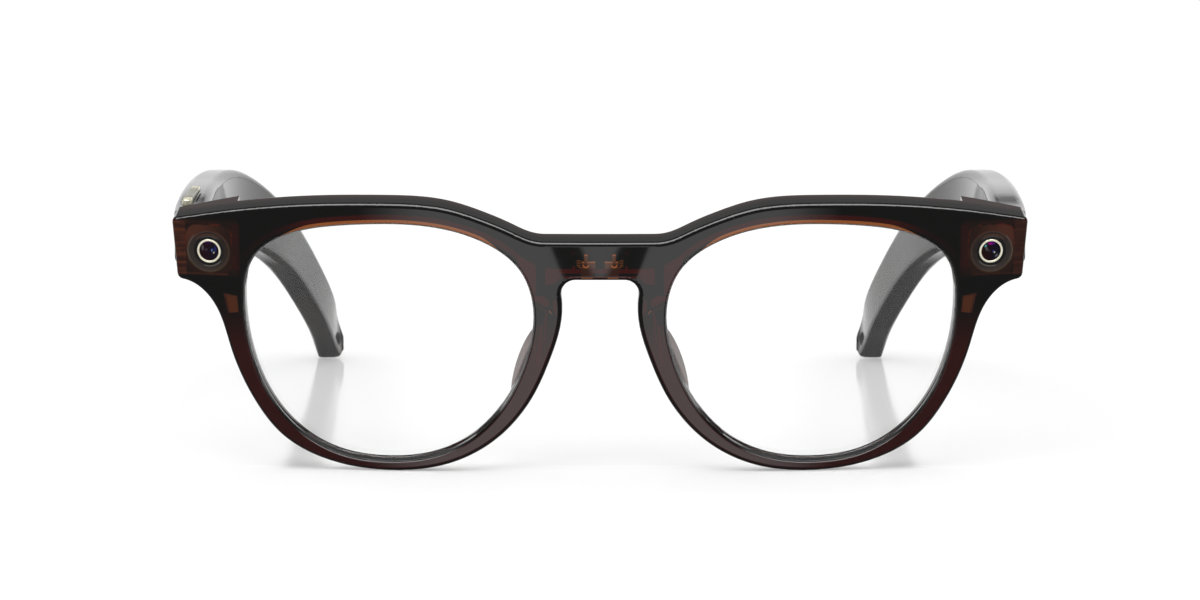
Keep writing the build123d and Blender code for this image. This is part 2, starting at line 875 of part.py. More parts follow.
with BuildPart() as temple_blank:
    for step in range(section_count + 1):
        place = centre_line.position_at(step / section_count)
        along = centre_line.tangent_at(step / section_count)
        across = Vector(along.Y, -along.X, 0).normalized()
        y = place.Y - front_foot_y
        with BuildSketch(Plane(origin=place, x_dir=across, z_dir=along)):
            RectangleRounded(
                value_at(thickness_line, y), value_at(height_line, y), temple_round
            )
    loft()
    with BuildSketch(tip_plane):
        with Locations((tip_radius, 0)):
            Rectangle(2 * tip_radius, 4 * tip_radius)
        Circle(tip_radius, mode=Mode.SUBTRACT)
    extrude(amount=2 * temple_thickness, both=True, mode=Mode.SUBTRACT)

inner_curve = [(x - thick / 2, y) for x, y, z, thick, high in stations]
with BuildLine() as inner_face:
    Spline(*inner_curve)


def temple_slice(side_inset, reach, start, end):
    """What lies within that reach of the temple's inner face, inset from its side view."""
    edges = []
    for x, y, z, thick, high in stations[:7]:
        square = station_plane(x, y, z)
        upper = side_plane.to_local_coords(square.from_local_coords((0, high / 2 - side_inset)))
        lower = side_plane.to_local_coords(square.from_local_coords((0, side_inset - high / 2)))
        edges.append(((upper.X, upper.Y), (lower.X, lower.Y)))
    with BuildPart() as body:
        with BuildSketch(side_plane.offset(40)):
            with BuildLine():
                Spline(*[one for one, other in edges])
                Spline(*[other for one, other in edges])
                Line(*edges[0])
                Line(*edges[-1])
            make_face()
            with Locations(((start + end) / 2, temple_top / 2)):
                Rectangle(end - start, 2 * temple_top, mode=Mode.INTERSECT)
        extrude(amount=50)
        with BuildSketch(plan_plane.offset(-5)):
            trace(inner_face.line, line_width=2 * reach)
        extrude(amount=temple_top + 10, mode=Mode.INTERSECT)
    return body.part


cavity = temple_slice(
    temple_wall + cover_ledge, temple_thickness - temple_wall, cavity_start, cavity_end
)
cover_seat = temple_slice(
    temple_wall,
    cover_thickness + cover_clearance,
    cavity_start - cover_ledge,
    cavity_end + cover_ledge,
)
cover_plate = temple_slice(
    temple_wall + cover_clearance,
    cover_thickness,
    cavity_start - cover_ledge + cover_clearance,
    cavity_end + cover_ledge - cover_clearance,
)

# ---- temple side of the hinge
lead = Vector(temple_lead).normalized()
leaf_face_x = inner_curve[0][0] + (hinge_y - temple_start) * lead.X / lead.Y
temple_leaf_side = Plane(
    origin=(leaf_face_x, front_foot_y + hinge_y, hinge_middle),
    x_dir=lead,
    z_dir=(lead.Y, -lead.X, 0),
)
temple_screw_spots = [(3.7, 0), (7.3, 0)]

with BuildPart() as temple_leaf_room:
    with BuildSketch(temple_leaf_side.offset(-1)):
        with Locations((temple_leaf_length / 2, 0)):
            Rectangle(
                temple_leaf_length + 2 * leaf_clearance, hinge_height + 2 * leaf_clearance
            )
    extrude(amount=1 + leaf_thickness + leaf_clearance)
    with BuildSketch(temple_leaf_side):
        with Locations(*temple_screw_spots):
            Circle(screw_radius + fit)
    extrude(amount=screw_length + 0.05)

with BuildPart() as temple_hinge_left:
    with BuildSketch(temple_leaf_side):
        with Locations((temple_leaf_length / 2, 0)):
            Rectangle(temple_leaf_length, hinge_height)
    extrude(amount=leaf_thickness)
    with BuildSketch(knuckle_bottom.offset((hinge_height - centre_knuckle) / 2)):
        with Locations((hinge_x, hinge_y)):
            Circle(knuckle_radius)
        with Locations(((hinge_x + leaf_face_x) / 2, hinge_y + 1.5 * knuckle_radius / 2)):
            Rectangle(leaf_face_x - hinge_x + 0.4, 1.5 * knuckle_radius)
    extrude(amount=centre_knuckle)
    with BuildSketch(knuckle_bottom):
        with Locations((hinge_x, hinge_y)):
            Circle(pin_radius + pin_clearance)
    extrude(amount=hinge_height, mode=Mode.SUBTRACT)
    with Locations(temple_leaf_side):
        with Locations(*[(x, y, 0) for x, y in temple_screw_spots]):
            Cylinder(screw_radius + fit, 2 * leaf_thickness + 1, mode=Mode.SUBTRACT)
            Cylinder(screw_head_radius + fit, 2 * screw_head_depth, mode=Mode.SUBTRACT)

with BuildPart() as temple_hinge_right:
    mirror(temple_hinge_left.part, about=Plane.YZ)

with BuildPart() as temple_hinge_screws_left:
    for x, y in temple_screw_spots:
        place = temple_leaf_side.from_local_coords((x, y, 0))
        add(screw(Plane(origin=place, x_dir=lead, z_dir=temple_leaf_side.z_dir)))
with BuildPart() as temple_hinge_screws_right:
    mirror(temple_hinge_screws_left.part, about=Plane.YZ)

# ---- what opens through the walls of both temples
mic_place = along_temple(temple_mic_y)
speaker_place = along_temple(speaker_y)
speaker_wall_y = -stations[4][4] / 2 + temple_wall / 2
with BuildPart() as temple_ports:
    with BuildSketch(plan_plane.offset(temple_top + 2)):
        with Locations((mic_place.origin.X, temple_mic_y)):
            Circle(temple_mic_radius)
    extrude(amount=-6)
    with BuildSketch(speaker_place.offset(-grille_width / 2 - fit)):
        with Locations((0, speaker_wall_y - 0.6)):
            Rectangle(grille_length + 2 * fit, 2 * temple_wall + 1.4)
    extrude(amount=grille_width + 2 * fit)

# ---- temple shells
with BuildPart() as temple_shell_left:
    add(temple_blank.part)
    add(cavity, mode=Mode.SUBTRACT)
    add(cover_seat, mode=Mode.SUBTRACT)
    add(temple_leaf_room.part, mode=Mode.SUBTRACT)
    add(temple_ports.part, mode=Mode.SUBTRACT)

# ---- where the capture button sits, square to the temple's rising top
def top_at(y):
    """The height of the temple's top at y."""
    place = along_temple(y)
    return place.from_local_coords((0, value_at(height_line, y) / 2, 0)).Z


button_x = along_temple(button_y).origin.X + button_outboard
button_rise = atan2(
    top_at(button_y + button_length / 2) - top_at(button_y - button_length / 2), button_length
)
button_seat = Plane(
    origin=plan_plane.from_local_coords((-button_x, button_y, top_at(button_y))),
    x_dir=(1, 0, 0),
    z_dir=(0, -sin(button_rise), cos(button_rise)),
)
flange_top = -temple_wall - 0.05
flange_foot = flange_top - button_flange_height
switch_foot = 0.02 - temple_wall - button_well_height
switch_top = switch_foot + switch_height + switch_dome
with BuildPart() as button_room:
    with BuildSketch(button_seat.offset(1)):
        SlotOverall(
            button_length + 2 * button_clearance,
            button_width + 2 * button_clearance,
            rotation=90,
        )
    extrude(amount=-temple_wall - 1.5)
    with BuildSketch(button_seat.offset(-temple_wall)):
        Rectangle(
            button_width + 2 * button_flange + 2 * button_clearance,
            button_length + 2 * button_flange + 2 * button_clearance,
        )
    extrude(amount=-button_well_height)
    with BuildSketch(button_seat.offset(1)):
        with Locations((button_width / 2 + slit_gap, -1)):
            Rectangle(slit_width, slit_length)
    extrude(amount=-1 - slit_depth)

with BuildPart() as temple_shell_right:
    mirror(temple_shell_left.part, about=Plane.YZ)
    add(button_room.part, mode=Mode.SUBTRACT)

with BuildPart() as capture_button:
    with BuildSketch(button_seat.offset(button_proud)):
        SlotOverall(button_length, button_width, rotation=90)
    extrude(amount=flange_top - button_proud)
    fillet(capture_button.faces().sort_by(Axis.Z)[-1].edges(), 0.35)
    with BuildSketch(button_seat.offset(button_proud)):
        for end in (-1, 1):
            with Locations((0, end * (button_length / 2 - button_cap))):
                Rectangle(2 * button_width, button_groove)
    extrude(amount=-button_groove, mode=Mode.SUBTRACT)
    with BuildSketch(button_seat.offset(flange_top)):
        Rectangle(button_width + 2 * button_flange, button_length + 2 * button_flange)
    extrude(amount=-button_flange_height)
    with BuildSketch(button_seat.offset(flange_foot)):
        Circle(plunger_radius)
    extrude(amount=switch_top + button_travel + 0.08 - flange_foot)

with BuildPart() as capture_switch:
    with BuildSketch(button_seat.offset(switch_foot)):
        Rectangle(button_width + 2 * button_flange - 0.2, 4.0)
    extrude(amount=switch_height)
    with BuildSketch(button_seat.offset(switch_foot + switch_height)):
        Circle(plunger_radius + 0.1)
    extrude(amount=switch_dome)

# ---- covers over the cavities, the left one with the slot of the power slider
middle_to_face = temple_thickness / 2
slider_place = along_temple(slider_y)
slider_face = slider_place.offset(-middle_to_face)
with BuildPart() as temple_cover_right:
    add(temple_blank.part)
    add(cover_plate, mode=Mode.INTERSECT)
with BuildPart() as temple_cover_left:
    add(temple_cover_right.part)
    with BuildSketch(slider_face.offset(-1)):
        with Locations((slider_travel / 2, 0)):
            Rectangle(
                slider_length + slider_travel + 2 * slider_clearance,
                slider_height + 2 * slider_clearance,
            )
    extrude(amount=cover_thickness + 2, mode=Mode.SUBTRACT)
with BuildPart() as cover_right:
    mirror(temple_cover_right.part, about=Plane.YZ)

with BuildPart() as power_slider:
    with BuildSketch(slider_face.offset(-slider_proud)):
        RectangleRounded(slider_length, slider_height, 0.4)
    extrude(amount=slider_proud + cover_thickness + 0.2)
    with BuildSketch(slider_face.offset(-slider_proud)):
        with GridLocations(0.8, 0, 4, 1):
            Rectangle(0.3, slider_height)
    extrude(amount=0.2, mode=Mode.SUBTRACT)
    with BuildSketch(slider_face.offset(cover_thickness + 0.2)):
        Rectangle(slider_length + 2 * slider_flange, slider_height + 2 * slider_flange)
    extrude(amount=slider_flange_thickness)

with BuildPart() as power_switch:
    with BuildSketch(slider_face.offset(cover_thickness + slider_flange_thickness + 0.3)):
        with Locations((slider_travel / 2, 0)):
            Rectangle(slider_length + slider_travel + 2.4, slider_height + 2 * slider_flange)
    extrude(amount=slider_body_thickness)

# ---- electronics: the board on the left, the battery on the right
electronics_left = along_temple(board_start + board_length / 2)
electronics_right = along_temple(battery_start + battery_length / 2)
with BuildPart() as main_board:
    with BuildSketch(electronics_left.offset(board_back - board_plate)):
        RectangleRounded(board_length, board_height, 0.8)
        with Locations((board_length / 2 - 2, board_height / 2), (2 - board_length / 2, 0)):
            Rectangle(2.2, 1.6, mode=Mode.SUBTRACT)
    extrude(amount=board_plate)
    with BuildSketch(electronics_left.offset(board_back - board_plate)):
        with Locations((-10, 1), (-6.5, -1.8), (11, -1.5)):
            Rectangle(2.4, 1.8)
        with Locations((3, 0)):
            Rectangle(7, 5)
    extrude(amount=-0.5)

with BuildPart() as processor_shield:
    with BuildSketch(electronics_left.offset(board_back + 0.02)):
        with Locations((1.5, 0)):
            RectangleRounded(shield_length, shield_height, 0.5)
    extrude(amount=shield_thickness)

with BuildPart() as battery_pattern:
    with BuildSketch(electronics_right.offset(-1.7)):
        RectangleRounded(battery_length, battery_height, 1.0)
    extrude(amount=battery_thickness)
    fillet(battery_pattern.edges().filter_by(GeomType.LINE).filter_by(
        lambda e: e.length > battery_length / 2), 0.6)

with BuildPart() as battery_board:
    with BuildSketch(electronics_right.offset(-1.2)):
        with Locations((battery_length / 2 + 1.9, 0)):
            Rectangle(2.6, battery_height - 2)
    extrude(amount=0.8)

with BuildPart() as touch_pad_flex:
    with BuildSketch(electronics_right.offset(battery_thickness - 1.7 + 0.15)):
        RectangleRounded(touch_length, touch_height, 1.5)
        with Locations((-touch_length / 2 - 2.4, 0)):
            Rectangle(5, 2.4)
    extrude(amount=touch_thickness)

with BuildPart() as speaker:
    with BuildSketch(speaker_place.offset(-1.45)):
        RectangleRounded(speaker_length, speaker_height, 1.4)
    extrude(amount=speaker_thickness)
    with BuildSketch(speaker_place.offset(-1.45)):
        RectangleRounded(speaker_length - 2.4, speaker_height - 2.4, 0.8)
    extrude(amount=0.3, mode=Mode.SUBTRACT)

with BuildPart() as speaker_grille:
    with BuildSketch(speaker_place.offset(-grille_width / 2)):
        with Locations((0, speaker_wall_y)):
            Rectangle(grille_length, temple_wall - 0.3)
            with GridLocations(grille_pitch, 0, int(grille_length / grille_pitch), 1):
                Rectangle(grille_slot, temple_wall, mode=Mode.SUBTRACT)
    extrude(amount=grille_width)
    with BuildSketch(speaker_place.offset(-grille_width / 2)):
        with Locations((0, speaker_wall_y + temple_wall / 2 - 0.4)):
            Rectangle(grille_length, 0.5)
    extrude(amount=0.3)
    with BuildSketch(speaker_place.offset(grille_width / 2 - 0.3)):
        with Locations((0, speaker_wall_y + temple_wall / 2 - 0.4)):
            Rectangle(grille_length, 0.5)
    extrude(amount=0.3)

mic_roof = stations[3][2] + stations[3][4] / 2 - temple_wall - cover_ledge
with BuildPart() as temple_microphone:
    with BuildSketch(plan_plane.offset(mic_roof - 0.7)):
        with Locations((mic_place.origin.X - 0.2, temple_mic_y)):
            Rectangle(2.4, 3.4)
    extrude(amount=-1.0)

with BuildPart() as temple_port_mesh:
    with BuildSketch(plan_plane.offset(temple_top - 1.4)):
        with Locations((mic_place.origin.X, temple_mic_y)):
            Circle(temple_mic_radius - fit)
    extrude(amount=-0.3)

with BuildPart() as speaker_flex:
    with BuildSketch(mic_place.offset(-0.3)):
        with Locations((2, -1.5)):
            Rectangle(6.5, flex_strip_height)
    extrude(amount=flex_strip_thickness)

for piece, name in (
    (temple_shell_left, "temple_shell_left"),
    (temple_shell_right, "temple_shell_right"),
    (temple_cover_left, "temple_cover_left"),
    (cover_right, "temple_cover_right"),
    (temple_hinge_left, "temple_hinge_left"),
    (temple_hinge_right, "temple_hinge_right"),
    (temple_hinge_screws_left, "temple_hinge_screws_left"),
    (temple_hinge_screws_right, "temple_hinge_screws_right"),
    (capture_button, "capture_button"),
    (capture_switch, "capture_switch"),
    (power_slider, "power_slider"),
    (power_switch, "power_switch"),
    (main_board, "main_board"),
    (processor_shield, "processor_shield"),
):
    piece.part.label = name
    export_step(piece.part, f"parts/{name}.step")

for piece, name in (
    (battery_pattern, "battery"),
    (battery_board, "battery_board"),
    (touch_pad_flex, "touch_pad_flex"),
):
    with BuildPart() as twin:
        mirror(piece.part, about=Plane.YZ)
    twin.part.label = name
    export_step(twin.part, f"parts/{name}.step")

for piece, name in (
    (speaker, "speaker"),
    (speaker_grille, "speaker_grille"),
    (temple_microphone, "temple_microphone"),
    (temple_port_mesh, "temple_port_mesh"),
    (speaker_flex, "speaker_flex"),
):
    piece.part.label = name + "_left"
    export_step(piece.part, f"parts/{name}_left.step")
    with BuildPart() as twin:
        mirror(piece.part, about=Plane.YZ)
    twin.part.label = name + "_right"
    export_step(twin.part, f"parts/{name}_right.step")
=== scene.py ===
from math import atan, cos, radians, sin

import bpy
import numpy as np
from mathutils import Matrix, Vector


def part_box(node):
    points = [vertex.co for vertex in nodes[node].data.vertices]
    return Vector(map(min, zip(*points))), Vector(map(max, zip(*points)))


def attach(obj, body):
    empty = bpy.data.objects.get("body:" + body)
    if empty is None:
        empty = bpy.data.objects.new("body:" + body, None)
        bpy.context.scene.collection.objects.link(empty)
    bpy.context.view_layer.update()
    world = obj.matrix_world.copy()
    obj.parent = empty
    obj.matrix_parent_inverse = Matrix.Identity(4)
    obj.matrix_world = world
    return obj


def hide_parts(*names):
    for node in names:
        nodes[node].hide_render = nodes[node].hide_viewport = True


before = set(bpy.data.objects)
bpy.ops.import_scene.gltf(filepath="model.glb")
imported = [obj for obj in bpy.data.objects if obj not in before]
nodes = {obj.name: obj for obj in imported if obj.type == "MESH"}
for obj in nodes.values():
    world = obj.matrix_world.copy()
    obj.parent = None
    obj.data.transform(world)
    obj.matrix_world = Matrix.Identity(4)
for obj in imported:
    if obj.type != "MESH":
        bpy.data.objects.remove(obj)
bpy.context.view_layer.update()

# ==== Studio =====================================================================
# The glasses stand open on a pale sweep, seen from the front and a little above.
# The camera is a long lens about 0.6 m away, and the frame is twice as wide as high.
scene = bpy.context.scene
scene.view_settings.view_transform = "Standard"

front_tilt = radians(9)
front_overhang = 0.00661               # how far the face's top leans over its foot
foot_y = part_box("front_shell")[0].y + front_overhang
foot_lift = 0.00038                    # how far the foot of the face would lie below Z 0

camera_distance = 0.620
camera_height = radians(7.8)
aim_height = 0.0275
aim = Vector((0, foot_y, aim_height - foot_lift))
sensor_width = 36
focal_length = 106.14                  # of that sensor, in millimetres
shift_up = 1 / 60                      # of the frame's width

camera = bpy.data.cameras.new("camera")
camera.sensor_width = sensor_width
camera.lens = focal_length
camera.shift_y = shift_up
camera.clip_start = 0.01
camera_object = bpy.data.objects.new("camera", camera)
towards_camera = Vector((0, -cos(camera_height), sin(camera_height)))
camera_object.location = aim + camera_distance * towards_camera
camera_object.rotation_euler = (radians(90) - camera_height, 0, 0)
scene.collection.objects.link(camera_object)
scene.camera = camera_object


def add_node(tree, kind, inputs=None, **settings):
    """A shader node of that kind, with its settings, and each input a value or a link."""
    made = tree.nodes.new("ShaderNode" + kind)
    for name, value in settings.items():
        setattr(made, name, value)
    for name, value in (inputs or {}).items():
        if isinstance(value, bpy.types.NodeSocket):
            tree.links.new(value, made.inputs[name])
        else:
            made.inputs[name].default_value = value
    return made


def calc(tree, operation, *values):
    """The outcome of one Math node on values or links."""
    return add_node(tree, "Math", dict(enumerate(values)), operation=operation).outputs[0]


def vector_calc(tree, operation, *values):
    """The outcome of one Vector Math node on values or links."""
    made = add_node(tree, "VectorMath", dict(enumerate(values)), operation=operation)
    number = operation in ("DISTANCE", "DOT_PRODUCT", "LENGTH")
    return made.outputs["Value" if number else "Vector"]


def split(tree, vector):
    """A vector's X, Y and Z, by name."""
    return add_node(tree, "SeparateXYZ", {"Vector": vector}).outputs


def flat(tree, x, y):
    """A vector with no Z."""
    return add_node(tree, "CombineXYZ", {"X": x, "Y": y}).outputs[0]


def product(tree, first, *others):
    """All of the values multiplied."""
    for other in others:
        first = calc(tree, "MULTIPLY", first, other)
    return first


def ramp(tree, value, low, high, start=0.0, end=1.0):
    """A smooth step from start to end as the value goes from low to high."""
    made = add_node(
        tree,
        "MapRange",
        {"Value": value, "From Min": low, "From Max": high, "To Min": start, "To Max": end},
        interpolation_type="SMOOTHSTEP",
    )
    return made.outputs["Result"]


def band(tree, value, low, high, soft):
    """1 between low and high and 0 outside, with edges that wide."""
    rise = ramp(tree, value, low - soft / 2, low + soft / 2)
    fall = ramp(tree, value, high - soft / 2, high + soft / 2, 1.0, 0.0)
    return product(tree, rise, fall)


def mixed(tree, share, one, other):
    """Two colours mixed by a share."""
    made = add_node(tree, "Mix", data_type="RGBA")
    for socket, value in ((0, share), (6, one), (7, other)):
        if isinstance(value, bpy.types.NodeSocket):
            tree.links.new(value, made.inputs[socket])
        elif socket:
            made.inputs[socket].default_value = (*value[:3], 1)
        else:
            made.inputs[socket].default_value = value
    return made.outputs[2]


# The room lights the glasses evenly. What their gloss shows is a studio: white behind,
# black cards in front with two leaning openings, and a wide softbox overhead.
room_light = 0.85
softbox = 7.0
card_black = 0.10
opening_white = 1.35
high_grey = 0.18          # the wall behind, above the white

# Where each begins and where it is full: its turn from straight ahead, and its rise
# over the horizon. The leaning face mirrors what lies face_fall below the horizon.
wall_turn = radians(105), radians(125)
wall_rise = radians(-40), radians(-22)
white_top = radians(20), radians(12)
face_fall = radians(25.6)
middle_edge = radians(-0.45), radians(-1.0)
side_edge = radians(1.8), radians(1.95)
side_end = radians(18.0), radians(11.5)
middle_slant, side_slant = 1.8, 1.2       # how far each edge moves aside as it rises
opening_rise = radians(-48), radians(-8), radians(6)
softbox_rise = radians(46), radians(84), radians(8)
softbox_turn = radians(88), radians(80)

world = bpy.data.worlds.new("studio")
scene.world = world
world.use_nodes = True
tree = world.node_tree
tree.nodes.clear()
way = add_node(tree, "TexCoord").outputs["Generated"]
parts = split(tree, way)
aside = calc(tree, "ABSOLUTE", parts["X"])
turn = calc(tree, "ARCTAN2", aside, product(tree, parts["Y"], -1.0))
rise = calc(tree, "ARCSINE", parts["Z"])
behind = product(
    tree,
    ramp(tree, turn, *wall_turn),
    ramp(tree, rise, *wall_rise),
    ramp(tree, rise, *white_top, high_grey, 1.0),
)
lean = calc(tree, "ADD", rise, face_fall)
middle = ramp(tree, calc(tree, "MULTIPLY_ADD", lean, -middle_slant, turn), *middle_edge)
sides = product(
    tree,
    ramp(tree, calc(tree, "MULTIPLY_ADD", lean, -side_slant, turn), *side_edge),
    ramp(tree, turn, *side_end),
)
opening = product(
    tree, calc(tree, "MAXIMUM", sides, middle), band(tree, rise, *opening_rise), opening_white
)
above = product(
    tree, band(tree, rise, *softbox_rise), ramp(tree, turn, *softbox_turn), softbox
)
gloss = calc(tree, "MAXIMUM", behind, opening)
gloss = calc(tree, "MAXIMUM", gloss, above)
gloss = calc(tree, "MAXIMUM", gloss, card_black)

# Seen straight, or through a lens and low down, the room is plain white.
path = add_node(tree, "LightPath")
through = path.outputs["Is Transmission Ray"]
low_through = product(tree, through, ramp(tree, rise, *white_top))
clear_path = calc(tree, "MAXIMUM", path.outputs["Is Camera Ray"], low_through)
mirrored = calc(tree, "MAXIMUM", path.outputs["Is Glossy Ray"], through)
strength = add_node(tree, "Mix", {0: mirrored, 2: room_light, 3: gloss})
strength = add_node(tree, "Mix", {0: clear_path, 2: strength.outputs[0], 3: 1.0})
background = add_node(tree, "Background", {"Strength": strength.outputs[0]})
background.inputs["Color"].default_value = (1, 1, 1, 1)
tree.links.new(background.outputs[0], add_node(tree, "OutputWorld").inputs[0])

# One area light from above on the left. Gloss shows the studio alone, and not this light.
key = bpy.data.lights.new("key", "AREA")
key.shape = "RECTANGLE"
key.size, key.size_y = 0.5, 0.3
key.energy = 1.0
key_object = bpy.data.objects.new("key", key)
key_place, key_aim = Vector((-0.12, -0.45, 0.6)), Vector((0, 0, 0.03))
key_object.location = key_place
key_object.rotation_euler = (key_aim - key_place).to_track_quat("-Z", "Y").to_euler()
key_object.visible_glossy = False
scene.collection.objects.link(key_object)

# The floor is white and matt. It is polished under the open temples, and lifts to the
# background's white where the camera sees it.
floor_reach = 4.0
floor_white = 0.9
floor_glow = 0.24
polish_share = 0.35
polish_roughness = 0.12
polish_front = foot_y + 0.001, foot_y + 0.008
polish_back = 0.12, 0.06
polish_side = 0.13, 0.08
floor_mesh = bpy.data.meshes.new("floor")
corners = [(-floor_reach, -floor_reach, 0), (floor_reach, -floor_reach, 0)]
corners += [(floor_reach, floor_reach, 0), (-floor_reach, floor_reach, 0)]
floor_mesh.from_pydata(corners, [], [(0, 1, 2, 3)])
floor = bpy.data.objects.new("floor", floor_mesh)
scene.collection.objects.link(floor)
floor.visible_glossy = False
floor_paint = bpy.data.materials.new("floor_paint")
floor_paint.use_nodes = True
tree = floor_paint.node_tree
tree.nodes.clear()
path = add_node(tree, "LightPath")
seen = calc(tree, "MAXIMUM", path.outputs["Is Camera Ray"], path.outputs["Is Transmission Ray"])
matt = add_node(tree, "BsdfDiffuse", {"Color": (floor_white, floor_white, floor_white, 1)})
glow = add_node(tree, "Emission", {"Strength": product(tree, seen, floor_glow)})
both = add_node(tree, "AddShader", {0: matt.outputs[0], 1: glow.outputs[0]})
polish = add_node(tree, "BsdfGlossy", {"Color": (1, 1, 1, 1), "Roughness": polish_roughness})
floor_place = split(tree, add_node(tree, "TexCoord").outputs["Object"])
polished = product(
    tree,
    ramp(tree, floor_place["Y"], *polish_front, 0.0, polish_share),
    ramp(tree, floor_place["Y"], *polish_back),
    ramp(tree, calc(tree, "ABSOLUTE", floor_place["X"]), *polish_side),
)
whole = add_node(tree, "MixShader", {0: polished, 1: both.outputs[0], 2: polish.outputs[0]})
tree.links.new(whole.outputs[0], add_node(tree, "OutputMaterial").inputs[0])
floor_mesh.materials.append(floor_paint)


# ==== Front: rims, bridge and end pieces =========================================
# One moulding of glossy, dark brown see-through plastic. It is thick enough to look black,
# and shows what lies inside. A painted orange glow lies at its thin lip over the lenses, and
# painted highlights, glints and glow lie round its ports and contacts.
def worn_finish():
    """A handled surface: cloudy tone between two colours, cloudy gloss and a fine relief."""
    group = bpy.data.node_groups.new("worn_finish", "ShaderNodeTree")
    face = group.interface
    face.new_socket("Vector", in_out="INPUT", socket_type="NodeSocketVector")
    for name in ("Dark", "Light"):
        face.new_socket(name, in_out="INPUT", socket_type="NodeSocketColor")
    for name in ("Scale", "Roughness", "Wear"):
        face.new_socket(name, in_out="INPUT", socket_type="NodeSocketFloat")
    face.new_socket("Color", in_out="OUTPUT", socket_type="NodeSocketColor")
    for name in ("Roughness", "Height"):
        face.new_socket(name, in_out="OUTPUT", socket_type="NodeSocketFloat")
    given = group.nodes.new("NodeGroupInput").outputs
    clouds = add_node(
        group, "TexNoise", {"Vector": given["Vector"], "Scale": given["Scale"], "Detail": 4.0}
    )
    finer = product(group, given["Scale"], 7.0)
    fine = add_node(
        group, "TexNoise", {"Vector": given["Vector"], "Scale": finer, "Detail": 2.0}
    )
    swing = calc(group, "SUBTRACT", clouds.outputs["Fac"], 0.5)
    rough = calc(group, "MULTIPLY_ADD", swing, given["Wear"], given["Roughness"])
    tone = ramp(group, clouds.outputs["Fac"], 0.35, 0.65)
    out = group.nodes.new("NodeGroupOutput").inputs
    group.links.new(mixed(group, tone, given["Dark"], given["Light"]), out["Color"])
    group.links.new(calc(group, "MAXIMUM", rough, 0.02), out["Roughness"])
    group.links.new(fine.outputs["Fac"], out["Height"])
    return group


worn_group = worn_finish()


def finish(name, dark, light=None, roughness=0.4, metallic=0.0, scale=120.0, wear=0.06,
           relief=0.0, stretch=(1, 1, 1), painted=None, shape=None, dull=None, extra=None):
    """A material with a Principled surface that the worn_finish group covers.

    Its colour goes from dark to light, or painted(tree, place) gives it. Its height is the
    group's times the relief, plus what shape(tree, place) adds, all in metres. Its roughness
    is at least what dull(tree, place) gives. Extra holds constants for its other sockets.
    """
    material = bpy.data.materials.new(name)
    material.use_nodes = True
    tree = material.node_tree
    surface = tree.nodes["Principled BSDF"]
    for socket, value in {"Metallic": metallic, **(extra or {})}.items():
        surface.inputs[socket].default_value = value
    place = add_node(tree, "TexCoord").outputs["Object"]
    stretched = add_node(tree, "Mapping", {"Vector": place, "Scale": stretch})
    worn = tree.nodes.new("ShaderNodeGroup")
    worn.node_tree = worn_group
    tree.links.new(stretched.outputs[0], worn.inputs["Vector"])
    worn.inputs["Dark"].default_value = (*dark, 1)
    worn.inputs["Light"].default_value = (*(light or dark), 1)
    worn.inputs["Scale"].default_value = scale
    worn.inputs["Roughness"].default_value = roughness
    worn.inputs["Wear"].default_value = wear
    colour = painted(tree, place) if painted else worn.outputs["Color"]
    tree.links.new(colour, surface.inputs["Base Color"])
    rough = worn.outputs["Roughness"]
    if dull:
        rough = calc(tree, "MAXIMUM", rough, dull(tree, place))
    tree.links.new(rough, surface.inputs["Roughness"])
    if relief or shape:
        height = product(tree, worn.outputs["Height"], relief)
        if shape:
            height = calc(tree, "ADD", height, shape(tree, place))
        bump = add_node(tree, "Bump", {"Height": height, "Distance": 1.0})
        tree.links.new(bump.outputs[0], surface.inputs["Normal"])
    return material


def dress(material, *names):
    """Gives CAD nodes their material."""
    for name in names:
        nodes[name].material_slots[0].material = material


def noise(tree, place, stretch, **inputs):
    """A noise over a place that is scaled along each axis first."""
    scaled = add_node(tree, "Mapping", {"Vector": place, "Scale": stretch}).outputs[0]
    return add_node(tree, "TexNoise", {"Vector": scaled, "Scale": 1.0, **inputs}).outputs["Fac"]


mm = 0.001
wrap_radius = 0.4
port_at = (0.0684, 0.0392)
port_seat = 2.56 * mm                 # the radius of the round recess that holds a ring
dish_radius = 3.4 * mm
dish_groove = 0.3 * mm
dish_roughness = 0.6
housing_at = (0.06835, 0.03965)
housing_half = (2.05 * mm, 2.35 * mm)     # its half size, less its rounded corners
housing_corner = 1.95 * mm
rivet_at = (2.45 * mm, 38.4 * mm)
lens_centre = (0.037, 0.024)
lens_lip = 0.6 * mm                   # how far the lens enters its groove
roll_start = 0.5 * mm
roll_steepness = 1600
crown_start = 1.7 * mm
crown_steepness = 130
black_brown = (0.0066, 0.0062, 0.0060)
deep_red = (0.040, 0.0068, 0.0060)
rim_red = (0.030, 0.0075, 0.0070)
wood_dark = (0.026, 0.0105, 0.0085)
wood_light = (0.072, 0.023, 0.013)
painted_lip_glow = (0.270, 0.085, 0.026)
top_brown = (0.050, 0.031, 0.029)
seat_black = (0.0015, 0.0012, 0.001)
housing_dark = (0.014, 0.0082, 0.0066)
painted_housing_glow = (0.062, 0.022, 0.014)
ring_brown = (0.045, 0.025, 0.014)
painted_arc_highlight = (0.14, 0.13, 0.12)
frame_line = (0.075, 0.013, 0.007)
antenna_brown = (0.080, 0.024, 0.011)
contact_brown = (0.034, 0.013, 0.0085)
contact_copper = (0.100, 0.034, 0.014)
painted_contact_glint = (0.300, 0.090, 0.030)


def box(left, right, low, high):
    """A rectangle's corners, anticlockwise."""
    return [(left, low), (right, low), (right, high), (left, high)]
